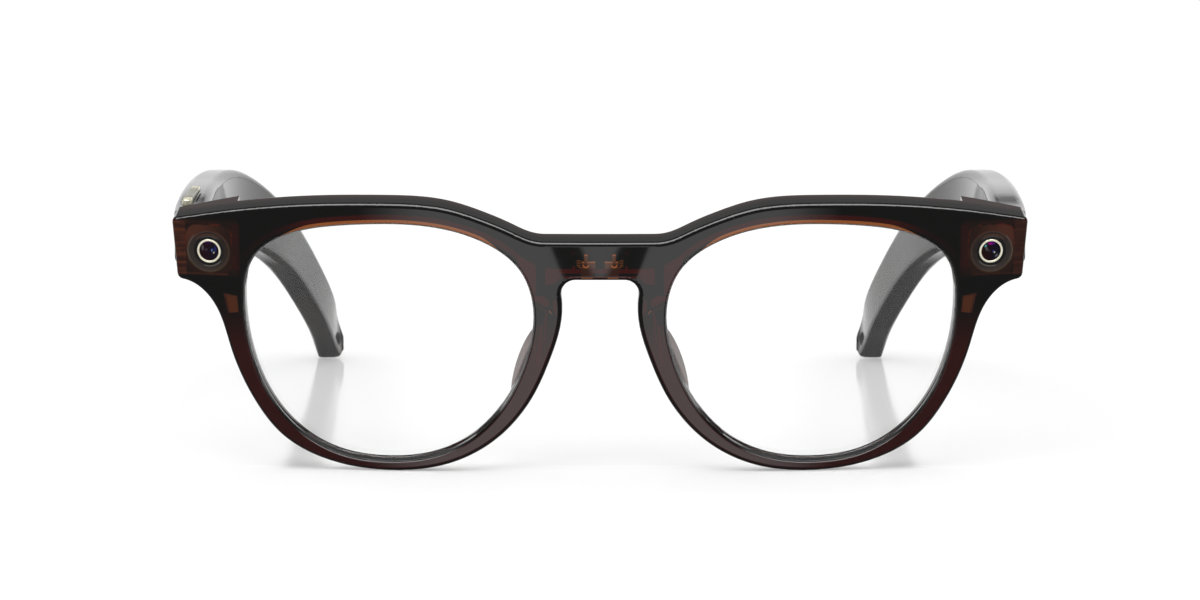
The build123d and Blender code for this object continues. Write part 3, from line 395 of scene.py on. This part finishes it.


# What shows through the face between its ports, and painted glints along some edges, each
# laid over the last: an outline in millimetres, across from the middle and up the face, its
# colour, its strength and, where it isn't crisp, its edge's softness.
seen_shapes = [
    # an antenna strip behind each outer rim
    ([(63.3, 28.4), (65.2, 28.2), (66.0, 31.8), (63.5, 31.4)], wood_light, 0.5),
    ([(63.5, 28.4), (64.9, 28.2), (65.5, 31.5), (63.7, 31.2)], antenna_brown, 0.8),
    # the lug that carries the nose pad, and the pad's root
    ([(11.1, 33.0), (12.6, 33.0), (14.6, 40.3), (11.9, 38.8), (11.1, 38.2)], deep_red, 0.85),
    (
        [(8.7, 32.8), (8.9, 30.9), (9.2, 30.7), (12.0, 32.1), (12.3, 34.0), (11.0, 33.9)]
        + [(9.8, 32.8)],
        deep_red,
        0.85,
    ),
    (
        [(6.7, 36.4), (7.7, 34.9), (8.7, 34.8), (9.5, 34.6), (9.5, 37.8), (6.7, 37.7)],
        deep_red,
        0.85,
    ),
    ([(7.3, 29.0), (8.2, 30.2), (8.1, 32.0), (7.7, 32.0)], deep_red, 0.85),
    ([(9.4, 27.7), (9.9, 27.6), (9.3, 30.2), (9.1, 29.6)], deep_red, 0.85),
    ([(9.7, 24.0), (9.95, 24.0), (9.6, 27.7), (9.35, 27.7)], deep_red, 0.85),
    ([(10.5, 20.0), (11.3, 20.0), (10.4, 27.4), (9.9, 27.5)], deep_red, 0.85),
    ([(11.5, 21.0), (11.7, 21.0), (10.9, 27.3), (10.7, 27.3)], deep_red, 0.85),
    ([(9.4, 29.9), (11.1, 30.9), (11.1, 31.1), (9.4, 30.15)], deep_red, 0.85),
    # a painted glint along the lug's edge
    ([(8.2, 29.3), (8.35, 29.4), (8.95, 30.05), (8.75, 30.1)], painted_contact_glint, 0.7),
    # the bridge: two red bands, and the pair of charging contacts with their springs, with painted
    # glints along their edges
    (box(-1, 6.75, 36.85, 37.65), deep_red, 1.0),
    (box(-1, 6.6, 35.9, 36.35), deep_red, 1.0),
    (box(4.35, 4.8, 37.6, 38.2), deep_red, 1.0),
    (box(4.35, 4.9, 40.35, 40.65), deep_red, 0.6, 0.3),
    (box(1.25, 3.3, 36.05, 37.7), contact_brown, 1.0),
    (box(0.8, 3.15, 37.73, 38.98), contact_copper, 0.6),
    (box(2.12, 2.75, 38.9, 40.2), contact_copper, 0.8),
    (box(3.35, 4.05, 38.25, 38.45), contact_copper, 1.0),
    (box(3.35, 4.05, 38.65, 38.85), contact_copper, 1.0),
    (box(3.35, 4.05, 39.05, 39.25), contact_copper, 1.0),
    ([(3.2, 37.75), (3.8, 38.0), (3.9, 38.2), (3.2, 38.0)], contact_copper, 1.0),
    (box(0.8, 2.1, 38.78, 39.0), painted_contact_glint, 0.75),
    (box(2.75, 3.2, 38.78, 39.0), painted_contact_glint, 0.75),
    (box(1.3, 3.2, 35.9, 36.1), painted_contact_glint, 0.75),
    (box(1.35, 3.0, 35.42, 35.52), painted_contact_glint, 0.75),
    (box(2.15, 2.75, 40.05, 40.3), painted_contact_glint, 0.75),
]


def front_place(tree, place):
    """Where a point lies on the leaning front: across, up its face, and behind its face.

    Up is the height and the way back turned by the front's lean. Behind is measured from
    the face's curve, a circle that falls back by its radius less the root of the radius
    squared less across squared.
    """
    parts = split(tree, place)
    back = calc(tree, "SUBTRACT", parts["Y"], foot_y)
    height = calc(tree, "ADD", parts["Z"], foot_lift)
    up = product(tree, height, cos(front_tilt))
    up = calc(tree, "MULTIPLY_ADD", back, -sin(front_tilt), up)
    behind = product(tree, height, sin(front_tilt))
    behind = calc(tree, "MULTIPLY_ADD", back, cos(front_tilt), behind)
    across = product(tree, parts["X"], parts["X"])
    chord = calc(tree, "SQRT", calc(tree, "SUBTRACT", wrap_radius**2, across))
    bow = calc(tree, "SUBTRACT", wrap_radius, chord)
    return parts["X"], up, calc(tree, "SUBTRACT", behind, bow)


def half_face(tree, x, up):
    """A place on the flattened face, with its right half folded over to the left."""
    return flat(tree, calc(tree, "ABSOLUTE", x), up)


def distance(tree, face, centre):
    """How far a place on the face lies from a point on it."""
    return vector_calc(tree, "DISTANCE", face, (*centre, 0))


def lens_edge_radii(steps):
    """The radius of the lens's outline round its centre, at even angles from -pi to pi.

    It is the furthest point where a ray at that angle crosses one of the mesh's edges.
    """
    mesh = nodes["lens_left"].data
    points = np.array([vertex.co for vertex in mesh.vertices])
    back, height = points[:, 1] - foot_y, points[:, 2] + foot_lift
    across = points[:, 0] - lens_centre[0]
    up = height * cos(front_tilt) - back * sin(front_tilt) - lens_centre[1]
    outline = np.stack([across, up], 1)
    ends = np.array([edge.vertices for edge in mesh.edges])
    start, end = outline[ends[:, 0]], outline[ends[:, 1]]
    radii = []
    for angle in np.linspace(-np.pi, np.pi, steps + 1):
        ray, beside = np.array([cos(angle), sin(angle)]), np.array([-sin(angle), cos(angle)])
        start_side, end_side = start @ beside, end @ beside
        crossing = (start_side > 0) != (end_side > 0)
        share = start_side[crossing] / (start_side[crossing] - end_side[crossing])
        met = start[crossing] + share[:, None] * (end[crossing] - start[crossing])
        radii.append((met @ ray).max())
    return radii


edge_radii = lens_edge_radii(120)
radius_unit = 0.04                        # the radius that the curve node shows as 1


def from_opening(tree, face):
    """How far a place on the face lies outside the edge of the lens opening."""
    curve = add_node(tree, "FloatCurve")
    points = curve.mapping.curves[0].points
    while len(points) < len(edge_radii):
        points.new(0.5, 0.5)
    for step, radius in enumerate(edge_radii):
        points[step].location = (step / (len(edge_radii) - 1), radius / radius_unit)
    curve.mapping.update()
    arm = split(tree, vector_calc(tree, "SUBTRACT", face, (*lens_centre, 0)))
    turn = calc(tree, "ARCTAN2", arm["Y"], arm["X"])
    tree.links.new(calc(tree, "MULTIPLY_ADD", turn, 0.5 / np.pi, 0.5), curve.inputs["Value"])
    edge = calc(tree, "MULTIPLY_ADD", curve.outputs["Value"], radius_unit, -lens_lip)
    return calc(tree, "SUBTRACT", distance(tree, face, lens_centre), edge)


def inside(tree, face, points, soft=0.12):
    """1 inside a convex outline in millimetres, and 0 outside.

    The product of one soft step per side, across that side. An outline that was drawn
    clockwise, whose corners' cross products add up to less than 0, is turned round first.
    """
    sides = list(zip(points, points[1:] + points[:1]))
    if sum(u * next_v - next_u * v for (u, v), (next_u, next_v) in sides) < 0:
        points = points[::-1]
        sides = list(zip(points, points[1:] + points[:1]))
    steps = []
    for (u, v), (next_u, next_v) in sides:
        long = np.hypot(next_u - u, next_v - v)
        out = ((next_v - v) / long, (u - next_u) / long)
        reach = vector_calc(tree, "DOT_PRODUCT", face, (*out, 0))
        limit = u * out[0] + v * out[1]
        low, high = (limit - soft / 2) * mm, (limit + soft / 2) * mm
        steps.append(ramp(tree, reach, low, high, 1.0, 0.0))
    return product(tree, *steps)


def arc(tree, reach, turn, low, high, start, end):
    """A soft stretch of a ring round a port, in millimetres and degrees."""
    ring = band(tree, reach, low * mm, high * mm, 0.12 * mm)
    return product(tree, ring, band(tree, turn, radians(start), radians(end), 0.25))


def front_colour(tree, place):
    """The plastic's own tone, and what shows through its face.

    Its own tone is black at the brow and turns red towards the lower rims. It is redder
    on the rounded outer edge, with a painted black reflection along its very edge, brown on
    the top behind the face, and black at the lens. Over it lie a painted glow at the lens lip,
    painted highlights and glow round the ports, and painted glints on the contacts.
    """
    x, up, behind = front_place(tree, place)
    face = half_face(tree, x, up)
    u = split(tree, face)["X"]
    gap = from_opening(tree, face)
    own = mixed(tree, ramp(tree, up, 31 * mm, 20 * mm), black_brown, rim_red)
    rounding = product(
        tree,
        band(tree, behind, 0.5 * mm, 1.0 * mm, 0.1 * mm),
        ramp(tree, up, 41 * mm, 38 * mm),
    )
    own = mixed(tree, rounding, own, deep_red)
    # painted reflection: a black band along the very edge of the rounding stands in for the black
    # cards mirrored there
    own = mixed(tree, band(tree, behind, 0.04 * mm, 0.4 * mm, 0.04 * mm), own, black_brown)
    top_back = product(
        tree, ramp(tree, behind, 2.5 * mm, 6.5 * mm), ramp(tree, up, 40.5 * mm, 42 * mm)
    )
    own = mixed(tree, top_back, own, top_brown)
    own = mixed(tree, ramp(tree, gap, 0.0, 0.15 * mm), black_brown, own)
    grain = noise(tree, face, (110, 1500, 1), Detail=5.0, Distortion=0.4)
    mottle = add_node(
        tree, "TexNoise", {"Vector": place, "Scale": 700.0, "Detail": 3.0}
    ).outputs["Fac"]
    colour = own

    def lay(share, tint, strength=1.0):
        """Lays a tint over what is there already."""
        nonlocal colour
        if strength < 1:
            share = product(tree, share, strength)
        colour = mixed(tree, share, colour, tint)

    # the end pieces: streaks at the outer edge, and the port's housing inside a thin frame, with a
    # painted glow towards its upper outer corner
    lay(inside(tree, face, box(63.2, 80, 35.0, 44.9), 1.2), housing_dark, 0.9)
    stronger = ramp(tree, x, -1 * mm, 1 * mm, 1.0, 0.35)
    streaks = product(tree, ramp(tree, grain, 0.40, 0.62), stronger)
    wood = mixed(tree, streaks, wood_dark, wood_light)
    lay(inside(tree, face, box(72.4, 80, 34.9, 44.7), 0.3), wood)
    lay(inside(tree, face, box(65, 73, 35.0, 35.3), 0.3), wood, 0.55)
    lay(inside(tree, face, box(66.5, 72.5, 44.2, 44.7), 0.3), wood, 0.4)
    # painted glow: the housing is painted lighter towards its upper outer corner, as if lit
    # through the plastic
    from_corner = distance(tree, face, (0.0712, 0.0428))
    painted_corner_glow = ramp(tree, from_corner, 0.5 * mm, 6.5 * mm, 1.0, 0.12)
    housing = mixed(tree, painted_corner_glow, housing_dark, painted_housing_glow)
    square = vector_calc(tree, "SUBTRACT", face, (*housing_at, 0))
    square = vector_calc(tree, "ABSOLUTE", square)
    square = vector_calc(tree, "SUBTRACT", square, (*housing_half, 0))
    square = vector_calc(tree, "MAXIMUM", square, (0, 0, 0))
    square = vector_calc(tree, "LENGTH", square)
    lay(ramp(tree, square, housing_corner + 0.1 * mm, housing_corner - 0.1 * mm), housing)
    line = product(
        tree,
        band(tree, square, housing_corner, housing_corner + 0.2 * mm, 0.1 * mm),
        ramp(tree, mottle, 0.42, 0.60),
        ramp(tree, up, 37 * mm, 43 * mm, 0.25, 1.0),
    )
    lay(line, frame_line)
    inner_edge = inside(tree, face, box(62.9, 64.3, 36, 44.3), 0.4)
    lay(product(tree, inner_edge, mottle), rim_red)

    # the dish round the port, with fine turned rings, an orange-brown arc above the seat, a
    # painted glow arc in the seat's upper part, and painted highlight arcs at its edge above and
    # below
    reach = distance(tree, face, port_at)
    port_up = calc(tree, "SUBTRACT", up, port_at[1])
    port_turn = calc(tree, "ARCTAN2", port_up, calc(tree, "SUBTRACT", u, port_at[0]))
    turned = calc(tree, "SINE", product(tree, reach, 2 * np.pi / dish_groove))
    dish = mixed(tree, ramp(tree, turned, -1, 1, 0.0, 0.35), housing_dark, ring_brown)
    lay(ramp(tree, reach, dish_radius + 0.15 * mm, dish_radius), dish)
    # painted light: the dish's rim is painted lighter towards its top, in the housing's painted
    # glow colour
    painted_lit_rim_tone = mixed(tree, ramp(tree, up, 40 * mm, 42.5 * mm), ring_brown, painted_housing_glow)
    lay(band(tree, reach, 3.45 * mm, 3.85 * mm, 0.25 * mm), painted_lit_rim_tone, 0.9)
    lay(arc(tree, reach, port_turn, 2.85, 3.1, 45, 130), antenna_brown)
    lay(ramp(tree, reach, port_seat + 0.12 * mm, port_seat), seat_black)
    # painted glow and painted highlights: an arc in the black seat's upper part, and thin grey
    # arcs at the seat's edge above and below
    lay(arc(tree, reach, port_turn, 2.22, 2.42, 55, 120), antenna_brown)
    lay(arc(tree, reach, port_turn, 2.56, 2.68, 60, 125), painted_arc_highlight, 0.5)
    lay(arc(tree, reach, port_turn, 2.66, 2.78, -140, -72), painted_arc_highlight)

    for outline, tint, strength, *soft in seen_shapes:
        lay(inside(tree, face, outline, *soft), tint, strength)
    rivet = distance(tree, face, rivet_at)
    lay(ramp(tree, rivet, 0.62 * mm, 0.5 * mm), contact_brown)
    # painted glint: a bright crescent round the rivet, stronger below
    painted_rivet_glint = product(
        tree,
        band(tree, rivet, 0.32 * mm, 0.58 * mm, 0.1 * mm),
        ramp(tree, up, 38.5 * mm, 38.1 * mm, 0.25, 1.0),
    )
    lay(painted_rivet_glint, painted_contact_glint)

    # painted glow: the thin lip over the lens is painted orange as if lit through, with a painted
    # dark red fringe that fades down the sides
    painted_glow_fringe = product(
        tree,
        band(tree, gap, 0.9 * mm, 1.8 * mm, 0.4 * mm),
        product(
            tree,
            ramp(tree, up, 36 * mm, 42 * mm),
            ramp(tree, u, 58 * mm, 50 * mm, 0.2, 1.0),
        ),
    )
    lay(painted_glow_fringe, deep_red, 0.85)
    lip_end = calc(
        tree,
        "MINIMUM",
        ramp(tree, u, 58 * mm, 50 * mm, 0.2 * mm, 0.95 * mm),
        ramp(tree, u, 16 * mm, 21 * mm, 0.2 * mm, 0.95 * mm),
    )
    over_lip = calc(tree, "SUBTRACT", gap, lip_end)
    # the share of the painted orange glow along the lip's inner edge
    glow = product(
        tree,
        ramp(tree, gap, 0.24 * mm, 0.32 * mm),
        ramp(tree, over_lip, -0.12 * mm, 0.0, 1.0, 0.0),
        ramp(tree, up, 36 * mm, 38 * mm),
    )
    lay(glow, painted_lip_glow)
    return mixed(tree, ramp(tree, behind, 1.25 * mm, 0.95 * mm), own, colour)


def front_shape(tree, place):
    """The face's finer form: it rolls into each lens opening, and the lower rims are crowned.

    The roll's drop is the square of what is left to its start, times a steepness, and the
    crown's is the same beyond its line. The roll is on the face alone, not on the walls.
    """
    x, up, behind = front_place(tree, place)
    gap = from_opening(tree, half_face(tree, x, up))
    roll = calc(tree, "MAXIMUM", calc(tree, "SUBTRACT", roll_start, gap), 0.0)
    crown = calc(tree, "MAXIMUM", calc(tree, "SUBTRACT", gap, crown_start), 0.0)
    crown = product(
        tree,
        product(tree, crown, crown),
        crown_steepness,
        ramp(tree, up, 15 * mm, 9 * mm),
        ramp(tree, behind, 0.9 * mm, 0.6 * mm),
    )
    normal = add_node(tree, "NewGeometry").outputs["Normal"]
    ahead = (0, -cos(front_tilt), -sin(front_tilt))
    facing = vector_calc(tree, "DOT_PRODUCT", normal, ahead)
    on_face = calc(tree, "GREATER_THAN", facing, 0.6)
    roll = product(tree, product(tree, roll, roll), roll_steepness, on_face)
    return product(tree, calc(tree, "ADD", roll, crown), -1.0)


def front_dull(tree, place):
    """The dish round each port is matt."""
    x, up, behind = front_place(tree, place)
    reach = distance(tree, half_face(tree, x, up), port_at)
    return ramp(tree, reach, 3.75 * mm, 3.6 * mm, 0.0, dish_roughness)


plastic = finish(
    "frame_plastic_front",
    black_brown,
    roughness=0.025,
    wear=0.02,
    painted=front_colour,
    shape=front_shape,
    dull=front_dull,
)
dress(plastic, "front_shell", "rear_cover")


# ==== Lenses =====================================================================
# Clear, lightly curved lenses with a bevelled edge in a groove round each opening,
# with an anti-reflection coating that leaves them almost unseen.
lens_glass = finish(
    "clear_lens", (0.985, 0.99, 0.985), (1, 1, 1), roughness=0.0, wear=0.0, scale=40.0,
    extra={"Transmission Weight": 1.0, "Specular IOR Level": 0.15},
)
dress(lens_glass, "lens_left", "lens_right")
for name in ("lens_left", "lens_right"):
    nodes[name].visible_shadow = False


# ==== Nose pads ==================================================================
# Smooth pads of the same brown family as the front, softer and more see-through.
pad = finish(
    "nose_pad_plastic", (0.090, 0.042, 0.030), (0.150, 0.075, 0.055),
    roughness=0.22, wear=0.08, scale=260.0, relief=2e-6,
    extra={"Transmission Weight": 0.45, "IOR": 1.45},
)
dress(pad, "nose_pad_left", "nose_pad_right")


# ==== Camera and indicator =======================================================
# Two round ports alike: a pale gold ring in a black seal round a dark cover glass.
# The camera looks out on the wearer's left, the indicator light on the right.
port_facing = atan(port_at[0] / wrap_radius)      # the front's wrap turns each port outwards
ring_outer, ring_inner, ring_length = 2.13 * mm, 1.75 * mm, 0.95 * mm
ring_bulge = 0.42                                 # the bead's half height, of its width


def ring_mesh(name, node, side):
    """A round bead: an oval carried round a circle.

    A point is centre + r cos(a) across + r sin(a) up + height out, where r and height
    follow the oval between the ring's outer and inner edge.
    """
    low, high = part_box(node)
    out = Vector(
        (
            side * sin(port_facing),
            -cos(port_facing) * cos(front_tilt),
            -cos(port_facing) * sin(front_tilt),
        )
    ).normalized()
    across = Vector((0, 0, 1)).cross(out).normalized()
    up = out.cross(across)
    wide = ring_outer - ring_inner
    around, profile = 96, 24
    turn = np.linspace(0, 2 * np.pi, around, endpoint=False)[:, None]
    bend = np.linspace(0, 2 * np.pi, profile, endpoint=False)[None, :]
    reach = (ring_outer + ring_inner) / 2 + wide / 2 * np.cos(bend) + 0 * turn
    height = ring_length / 2 + ring_bulge * wide * (np.sin(bend) - 1) + 0 * turn
    place = (
        np.array((low + high) / 2)
        + (reach * np.cos(turn))[..., None] * np.array(across)
        + (reach * np.sin(turn))[..., None] * np.array(up)
        + height[..., None] * np.array(out)
    )
    index = np.arange(around * profile).reshape(around, profile)
    nearer, further = np.roll(index, -1, 0), np.roll(index, -1, 1)
    faces = np.stack([index, nearer, np.roll(nearer, -1, 1), further], -1).reshape(-1, 4)
    mesh = bpy.data.meshes.new(name)
    mesh.from_pydata(place.reshape(-1, 3).tolist(), [], faces.tolist())
    mesh.polygons.foreach_set("use_smooth", [True] * len(faces))
    return mesh


gold = finish(
    "gold_metal", (0.90, 0.84, 0.66), (1.0, 0.96, 0.78), roughness=0.30, wear=0.15,
    metallic=0.2, scale=900.0,
)
for side, port in ((1, "camera"), (-1, "indicator")):
    bead_name = port + "_ring_bead"
    bead = bpy.data.objects.new(bead_name, ring_mesh(bead_name, port + "_trim_ring", side))
    scene.collection.objects.link(bead)
    bead.data.materials.append(gold)
    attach(bead, "front")
    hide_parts(port + "_trim_ring")

rubber = finish(
    "black_rubber", (0.002, 0.002, 0.002), (0.005, 0.005, 0.005), roughness=0.6, wear=0.2
)
dress(rubber, "camera_seal", "indicator_seal")


def port_glass(name, side, painted_reflection_left, painted_reflection_right, painted_glints):
    """The dark cover glass over coated lenses, whose coats glint in their own places.

    Its colour is all painted reflection of the coats: a sweep from left to right, and a painted
    glint or haze at each spot. Each spot has its place, its size along and across its run, its
    run's angle and a colour.
    """

    def painted(tree, place):
        x, up, behind = front_place(tree, place)
        u = calc(tree, "SUBTRACT", x, side * port_at[0])
        v = calc(tree, "SUBTRACT", up, port_at[1])
        colour = mixed(tree, ramp(tree, u, -1.2 * mm, 1.2 * mm), painted_reflection_left, painted_reflection_right)
        for at, size, angle, tint in painted_glints:
            centred = flat(
                tree, calc(tree, "SUBTRACT", u, at[0] * mm), calc(tree, "SUBTRACT", v, at[1] * mm)
            )
            turn = {"Vector": centred, "Rotation": (0, 0, radians(-angle))}
            turned = add_node(tree, "Mapping", turn).outputs[0]
            shrink = (1 / (size[0] * mm), 1 / (size[1] * mm), 0)
            away = vector_calc(tree, "LENGTH", vector_calc(tree, "MULTIPLY", turned, shrink))
            colour = mixed(tree, ramp(tree, away, 0.35, 1.0, 1.0, 0.0), colour, tint)
        return colour

    return finish(name, painted_reflection_left, roughness=0.03, wear=0.02, painted=painted)


# Painted reflections on each cover glass: glints and haze of its coats, one spot each
camera_painted_glints = [
    ((-0.85, 0.45), (0.35, 0.65), 20, (0.060, 0.058, 0.065)),
    ((0.0, 1.33), (0.80, 0.28), 0, (0.11, 0.0, 0.24)),
    ((-0.22, 1.32), (0.50, 0.24), 0, (0.33, 0.0, 0.22)),
    ((-1.03, 0.93), (0.34, 0.20), 50, (0.085, 0.40, 0.45)),
    ((-0.35, 0.05), (0.30, 0.25), 0, (0.028, 0.016, 0.022)),
    ((0.95, -0.85), (0.50, 0.20), 50, (0.12, 0.12, 0.15)),
    ((0.38, -0.10), (0.17, 0.24), -20, (0.06, 0.08, 0.28)),
    ((0.58, -0.30), (0.20, 0.15), 45, (0.62, 0.62, 0.52)),
]
indicator_painted_glints = [
    ((-1.07, 0.55), (0.30, 0.75), 0, (0.075, 0.072, 0.080)),
    ((-0.10, 1.43), (0.85, 0.20), 0, (0.040, 0.0, 0.060)),
    ((-0.45, 0.20), (0.36, 0.36), 0, (0.035, 0.020, 0.030)),
    ((1.15, 0.35), (0.30, 0.65), 0, (0.012, 0.016, 0.12)),
    ((0.58, 0.12), (0.20, 0.36), -12, (0.08, 0.14, 0.38)),
    ((0.90, -0.30), (0.32, 0.14), 55, (0.40, 0.41, 0.30)),
]
camera_glass = port_glass(
    "camera_glass", 1, (0.012, 0.002, 0.003), (0.0045, 0.004, 0.012), camera_painted_glints
)
indicator_glass = port_glass(
    "indicator_glass", -1, (0.014, 0.003, 0.006), (0.007, 0.004, 0.013), indicator_painted_glints
)
dress(camera_glass, "camera_cover_glass")
dress(indicator_glass, "indicator_cover_glass")
light_guide = finish(
    "light_guide_plastic", (0.70, 0.72, 0.74), (0.85, 0.86, 0.87), roughness=0.25,
    scale=400.0, extra={"Transmission Weight": 0.5},
)
dress(light_guide, "indicator_light_guide")


# ==== Temples ====================================================================
# The same glossy plastic as the front, in two halves that meet in a fine seam. It is
# deeper than the front, so little shows through it but a cloudy brown towards the tip.
temple_brown = (0.030, 0.0125, 0.0095)
patch_brown = (0.105, 0.036, 0.018)
patch_strength = 0.5
patch_back = -33 * mm, -17 * mm           # how far back it starts and ends
patch_side = 70.5 * mm, 69.5 * mm         # it fades in between these, towards the head
tip_start, tip_end = 20 * mm, 75 * mm


def temple_colour(tree, place):
    """Nearly black, brown towards the tip, with a see-through patch on the inner side."""
    parts = split(tree, place)
    x = calc(tree, "ABSOLUTE", parts["X"])
    clouds = noise(tree, place, (90, 25, 90), Detail=4.0, Distortion=0.6)
    cloudy = ramp(tree, clouds, 0.42, 0.66)
    tip = ramp(tree, parts["Y"], tip_start, tip_end, 0.15, 0.6)
    colour = mixed(tree, product(tree, cloudy, tip), black_brown, temple_brown)
    patch = product(
        tree,
        band(tree, parts["Y"], *patch_back, 2 * mm),
        ramp(tree, x, *patch_side),
        patch_strength,
    )
    return mixed(tree, patch, colour, patch_brown)


temple_plastic = finish(
    "frame_plastic_temple", black_brown, roughness=0.07, wear=0.04, painted=temple_colour
)
dress(
    temple_plastic,
    "temple_shell_left",
    "temple_shell_right",
    "temple_cover_left",
    "temple_cover_right",
)


# ==== Capture button and switches ================================================
# A slim gold-toned button on top of the right temple: a brushed face, painted grey as the
# reflection it shows, between two ends painted pale as highlights. The power slider inside
# the left temple is black with a fine grain.
button_low, button_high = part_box("capture_button")
button_middle = (button_low.y + button_high.y) / 2
cap_start = 4.8 * mm
painted_cap_highlight = (0.90, 0.86, 0.65)
brushed_painted_reflection_dark = (0.42, 0.41, 0.34)
brushed_painted_reflection_light = (0.52, 0.51, 0.43)


def button_colour(tree, place):
    """A darker brushed face, with pale ends beyond cap_start of the middle."""
    # painted light: the brushed face's grey is painted reflection, and the pale ends beyond
    # cap_start are painted highlights
    away = calc(tree, "SUBTRACT", split(tree, place)["Y"], button_middle)
    away = calc(tree, "ABSOLUTE", away)
    brush = noise(tree, place, (4000, 90, 4000), Detail=3.0)
    face = mixed(tree, ramp(tree, brush, 0.35, 0.65), brushed_painted_reflection_dark, brushed_painted_reflection_light)
    painted_highlight_ends = ramp(tree, away, cap_start - 0.05 * mm, cap_start + 0.05 * mm)
    return mixed(tree, painted_highlight_ends, face, painted_cap_highlight)


button_metal = finish(
    "button_metal", (0.48, 0.47, 0.39), roughness=0.34, wear=0.1, metallic=0.5,
    scale=500.0, relief=4e-6, stretch=(8, 0.3, 8), painted=button_colour,
)
dress(button_metal, "capture_button")
black_plastic = finish(
    "black_plastic", (0.008, 0.008, 0.008), (0.020, 0.020, 0.020), roughness=0.42,
    wear=0.15, scale=900.0, relief=1.2e-5,
)
dress(
    black_plastic, "power_slider", "power_switch", "capture_switch", "camera_barrel",
    "contact_carrier",
)


# ==== Hinges and screws ==========================================================
# Brushed steel hinge leaves, held by small bright screws, on a polished pin.
hinge_steel = finish(
    "hinge_steel", (0.38, 0.38, 0.39), (0.56, 0.56, 0.57), roughness=0.32, wear=0.18,
    metallic=1.0, scale=180.0, relief=4e-6, stretch=(1, 1, 12),
)
dress(
    hinge_steel, "front_hinge_left", "front_hinge_right", "temple_hinge_left", "temple_hinge_right"
)
screw_steel = finish(
    "screw_steel", (0.50, 0.50, 0.51), (0.68, 0.68, 0.69), roughness=0.22, wear=0.12,
    metallic=1.0, scale=1400.0, relief=2e-6,
)
dress(
    screw_steel, "front_hinge_screws", "hinge_pin_left", "hinge_pin_right",
    "temple_hinge_screws_left", "temple_hinge_screws_right",
)


# ==== Electronics ================================================================
# What the shells hide: boards with traces, ribbons, contacts, shields, meshes,
# speakers and the wrapped battery.
def traced(ground, trace, pitch, direction):
    """Fine parallel traces of that pitch over a ground: where the sine along is high."""

    def painted(tree, place):
        along = vector_calc(tree, "DOT_PRODUCT", place, direction)
        wave = calc(tree, "SINE", product(tree, along, 2 * np.pi / pitch))
        line = ramp(tree, wave, 0.50, 0.80)
        cloud = add_node(tree, "TexNoise", {"Vector": place, "Scale": 260.0, "Detail": 2.0})
        broken = ramp(tree, cloud.outputs["Fac"], 0.46, 0.52)
        return mixed(tree, product(tree, line, broken), ground, trace)

    return painted


def punched(ground, hole, pitch):
    """Round holes in rows: where the product of two sines of that pitch is high."""

    def painted(tree, place):
        parts = split(tree, place)
        first = calc(tree, "SINE", product(tree, parts["Y"], 2 * np.pi / pitch))
        second = calc(tree, "SINE", product(tree, parts["Z"], 2 * np.pi / pitch))
        share = ramp(tree, product(tree, first, second), 0.10, 0.30)
        return mixed(tree, share, ground, hole)

    return painted


board = finish(
    "circuit_board", (0.006, 0.030, 0.016), roughness=0.35, wear=0.12, relief=6e-6,
    painted=traced((0.006, 0.030, 0.016), (0.020, 0.085, 0.040), 0.6 * mm, (0.2, 1, 0.6)),
)
dress(board, "camera_sensor_board", "indicator_led_board", "main_board", "battery_board")
flex = finish(
    "flex_ribbon", (0.110, 0.038, 0.012), roughness=0.3, wear=0.08,
    painted=traced((0.090, 0.032, 0.010), (0.300, 0.120, 0.040), 0.4 * mm, (0, 0.1, 1)),
)
dress(flex, "brow_flex", "speaker_flex_left", "speaker_flex_right", "touch_pad_flex")
copper = finish(
    "copper_contact", (0.62, 0.30, 0.13), (0.80, 0.45, 0.22), roughness=0.28, wear=0.14,
    metallic=1.0, scale=600.0, relief=2e-6,
)
dress(copper, "charging_contacts", "antenna_strip_left", "antenna_strip_right")
shield = finish(
    "shield_metal", (0.46, 0.46, 0.45), (0.62, 0.62, 0.60), roughness=0.36, wear=0.14,
    metallic=1.0, scale=400.0, relief=3e-6,
)
dress(
    shield, "bridge_microphone", "temple_microphone_left", "temple_microphone_right",
    "processor_shield",
)
mesh_metal = finish(
    "mesh_metal", (0.060, 0.060, 0.060), roughness=0.4, wear=0.1, metallic=0.8,
    painted=punched((0.110, 0.110, 0.108), (0.004, 0.004, 0.004), 0.36 * mm),
)
dress(
    mesh_metal, "speaker_grille_left", "speaker_grille_right", "temple_port_mesh_left",
    "temple_port_mesh_right",
)
speaker_plastic = finish(
    "speaker_plastic", (0.020, 0.020, 0.021), (0.038, 0.038, 0.040), roughness=0.5,
    wear=0.15, scale=1200.0, relief=1e-5,
)
dress(speaker_plastic, "speaker_left", "speaker_right")
battery_wrap = finish(
    "battery_wrap", (0.30, 0.31, 0.33), (0.44, 0.45, 0.47), roughness=0.38, wear=0.2,
    metallic=0.7, scale=150.0, relief=6e-5,
)
dress(battery_wrap, "battery")
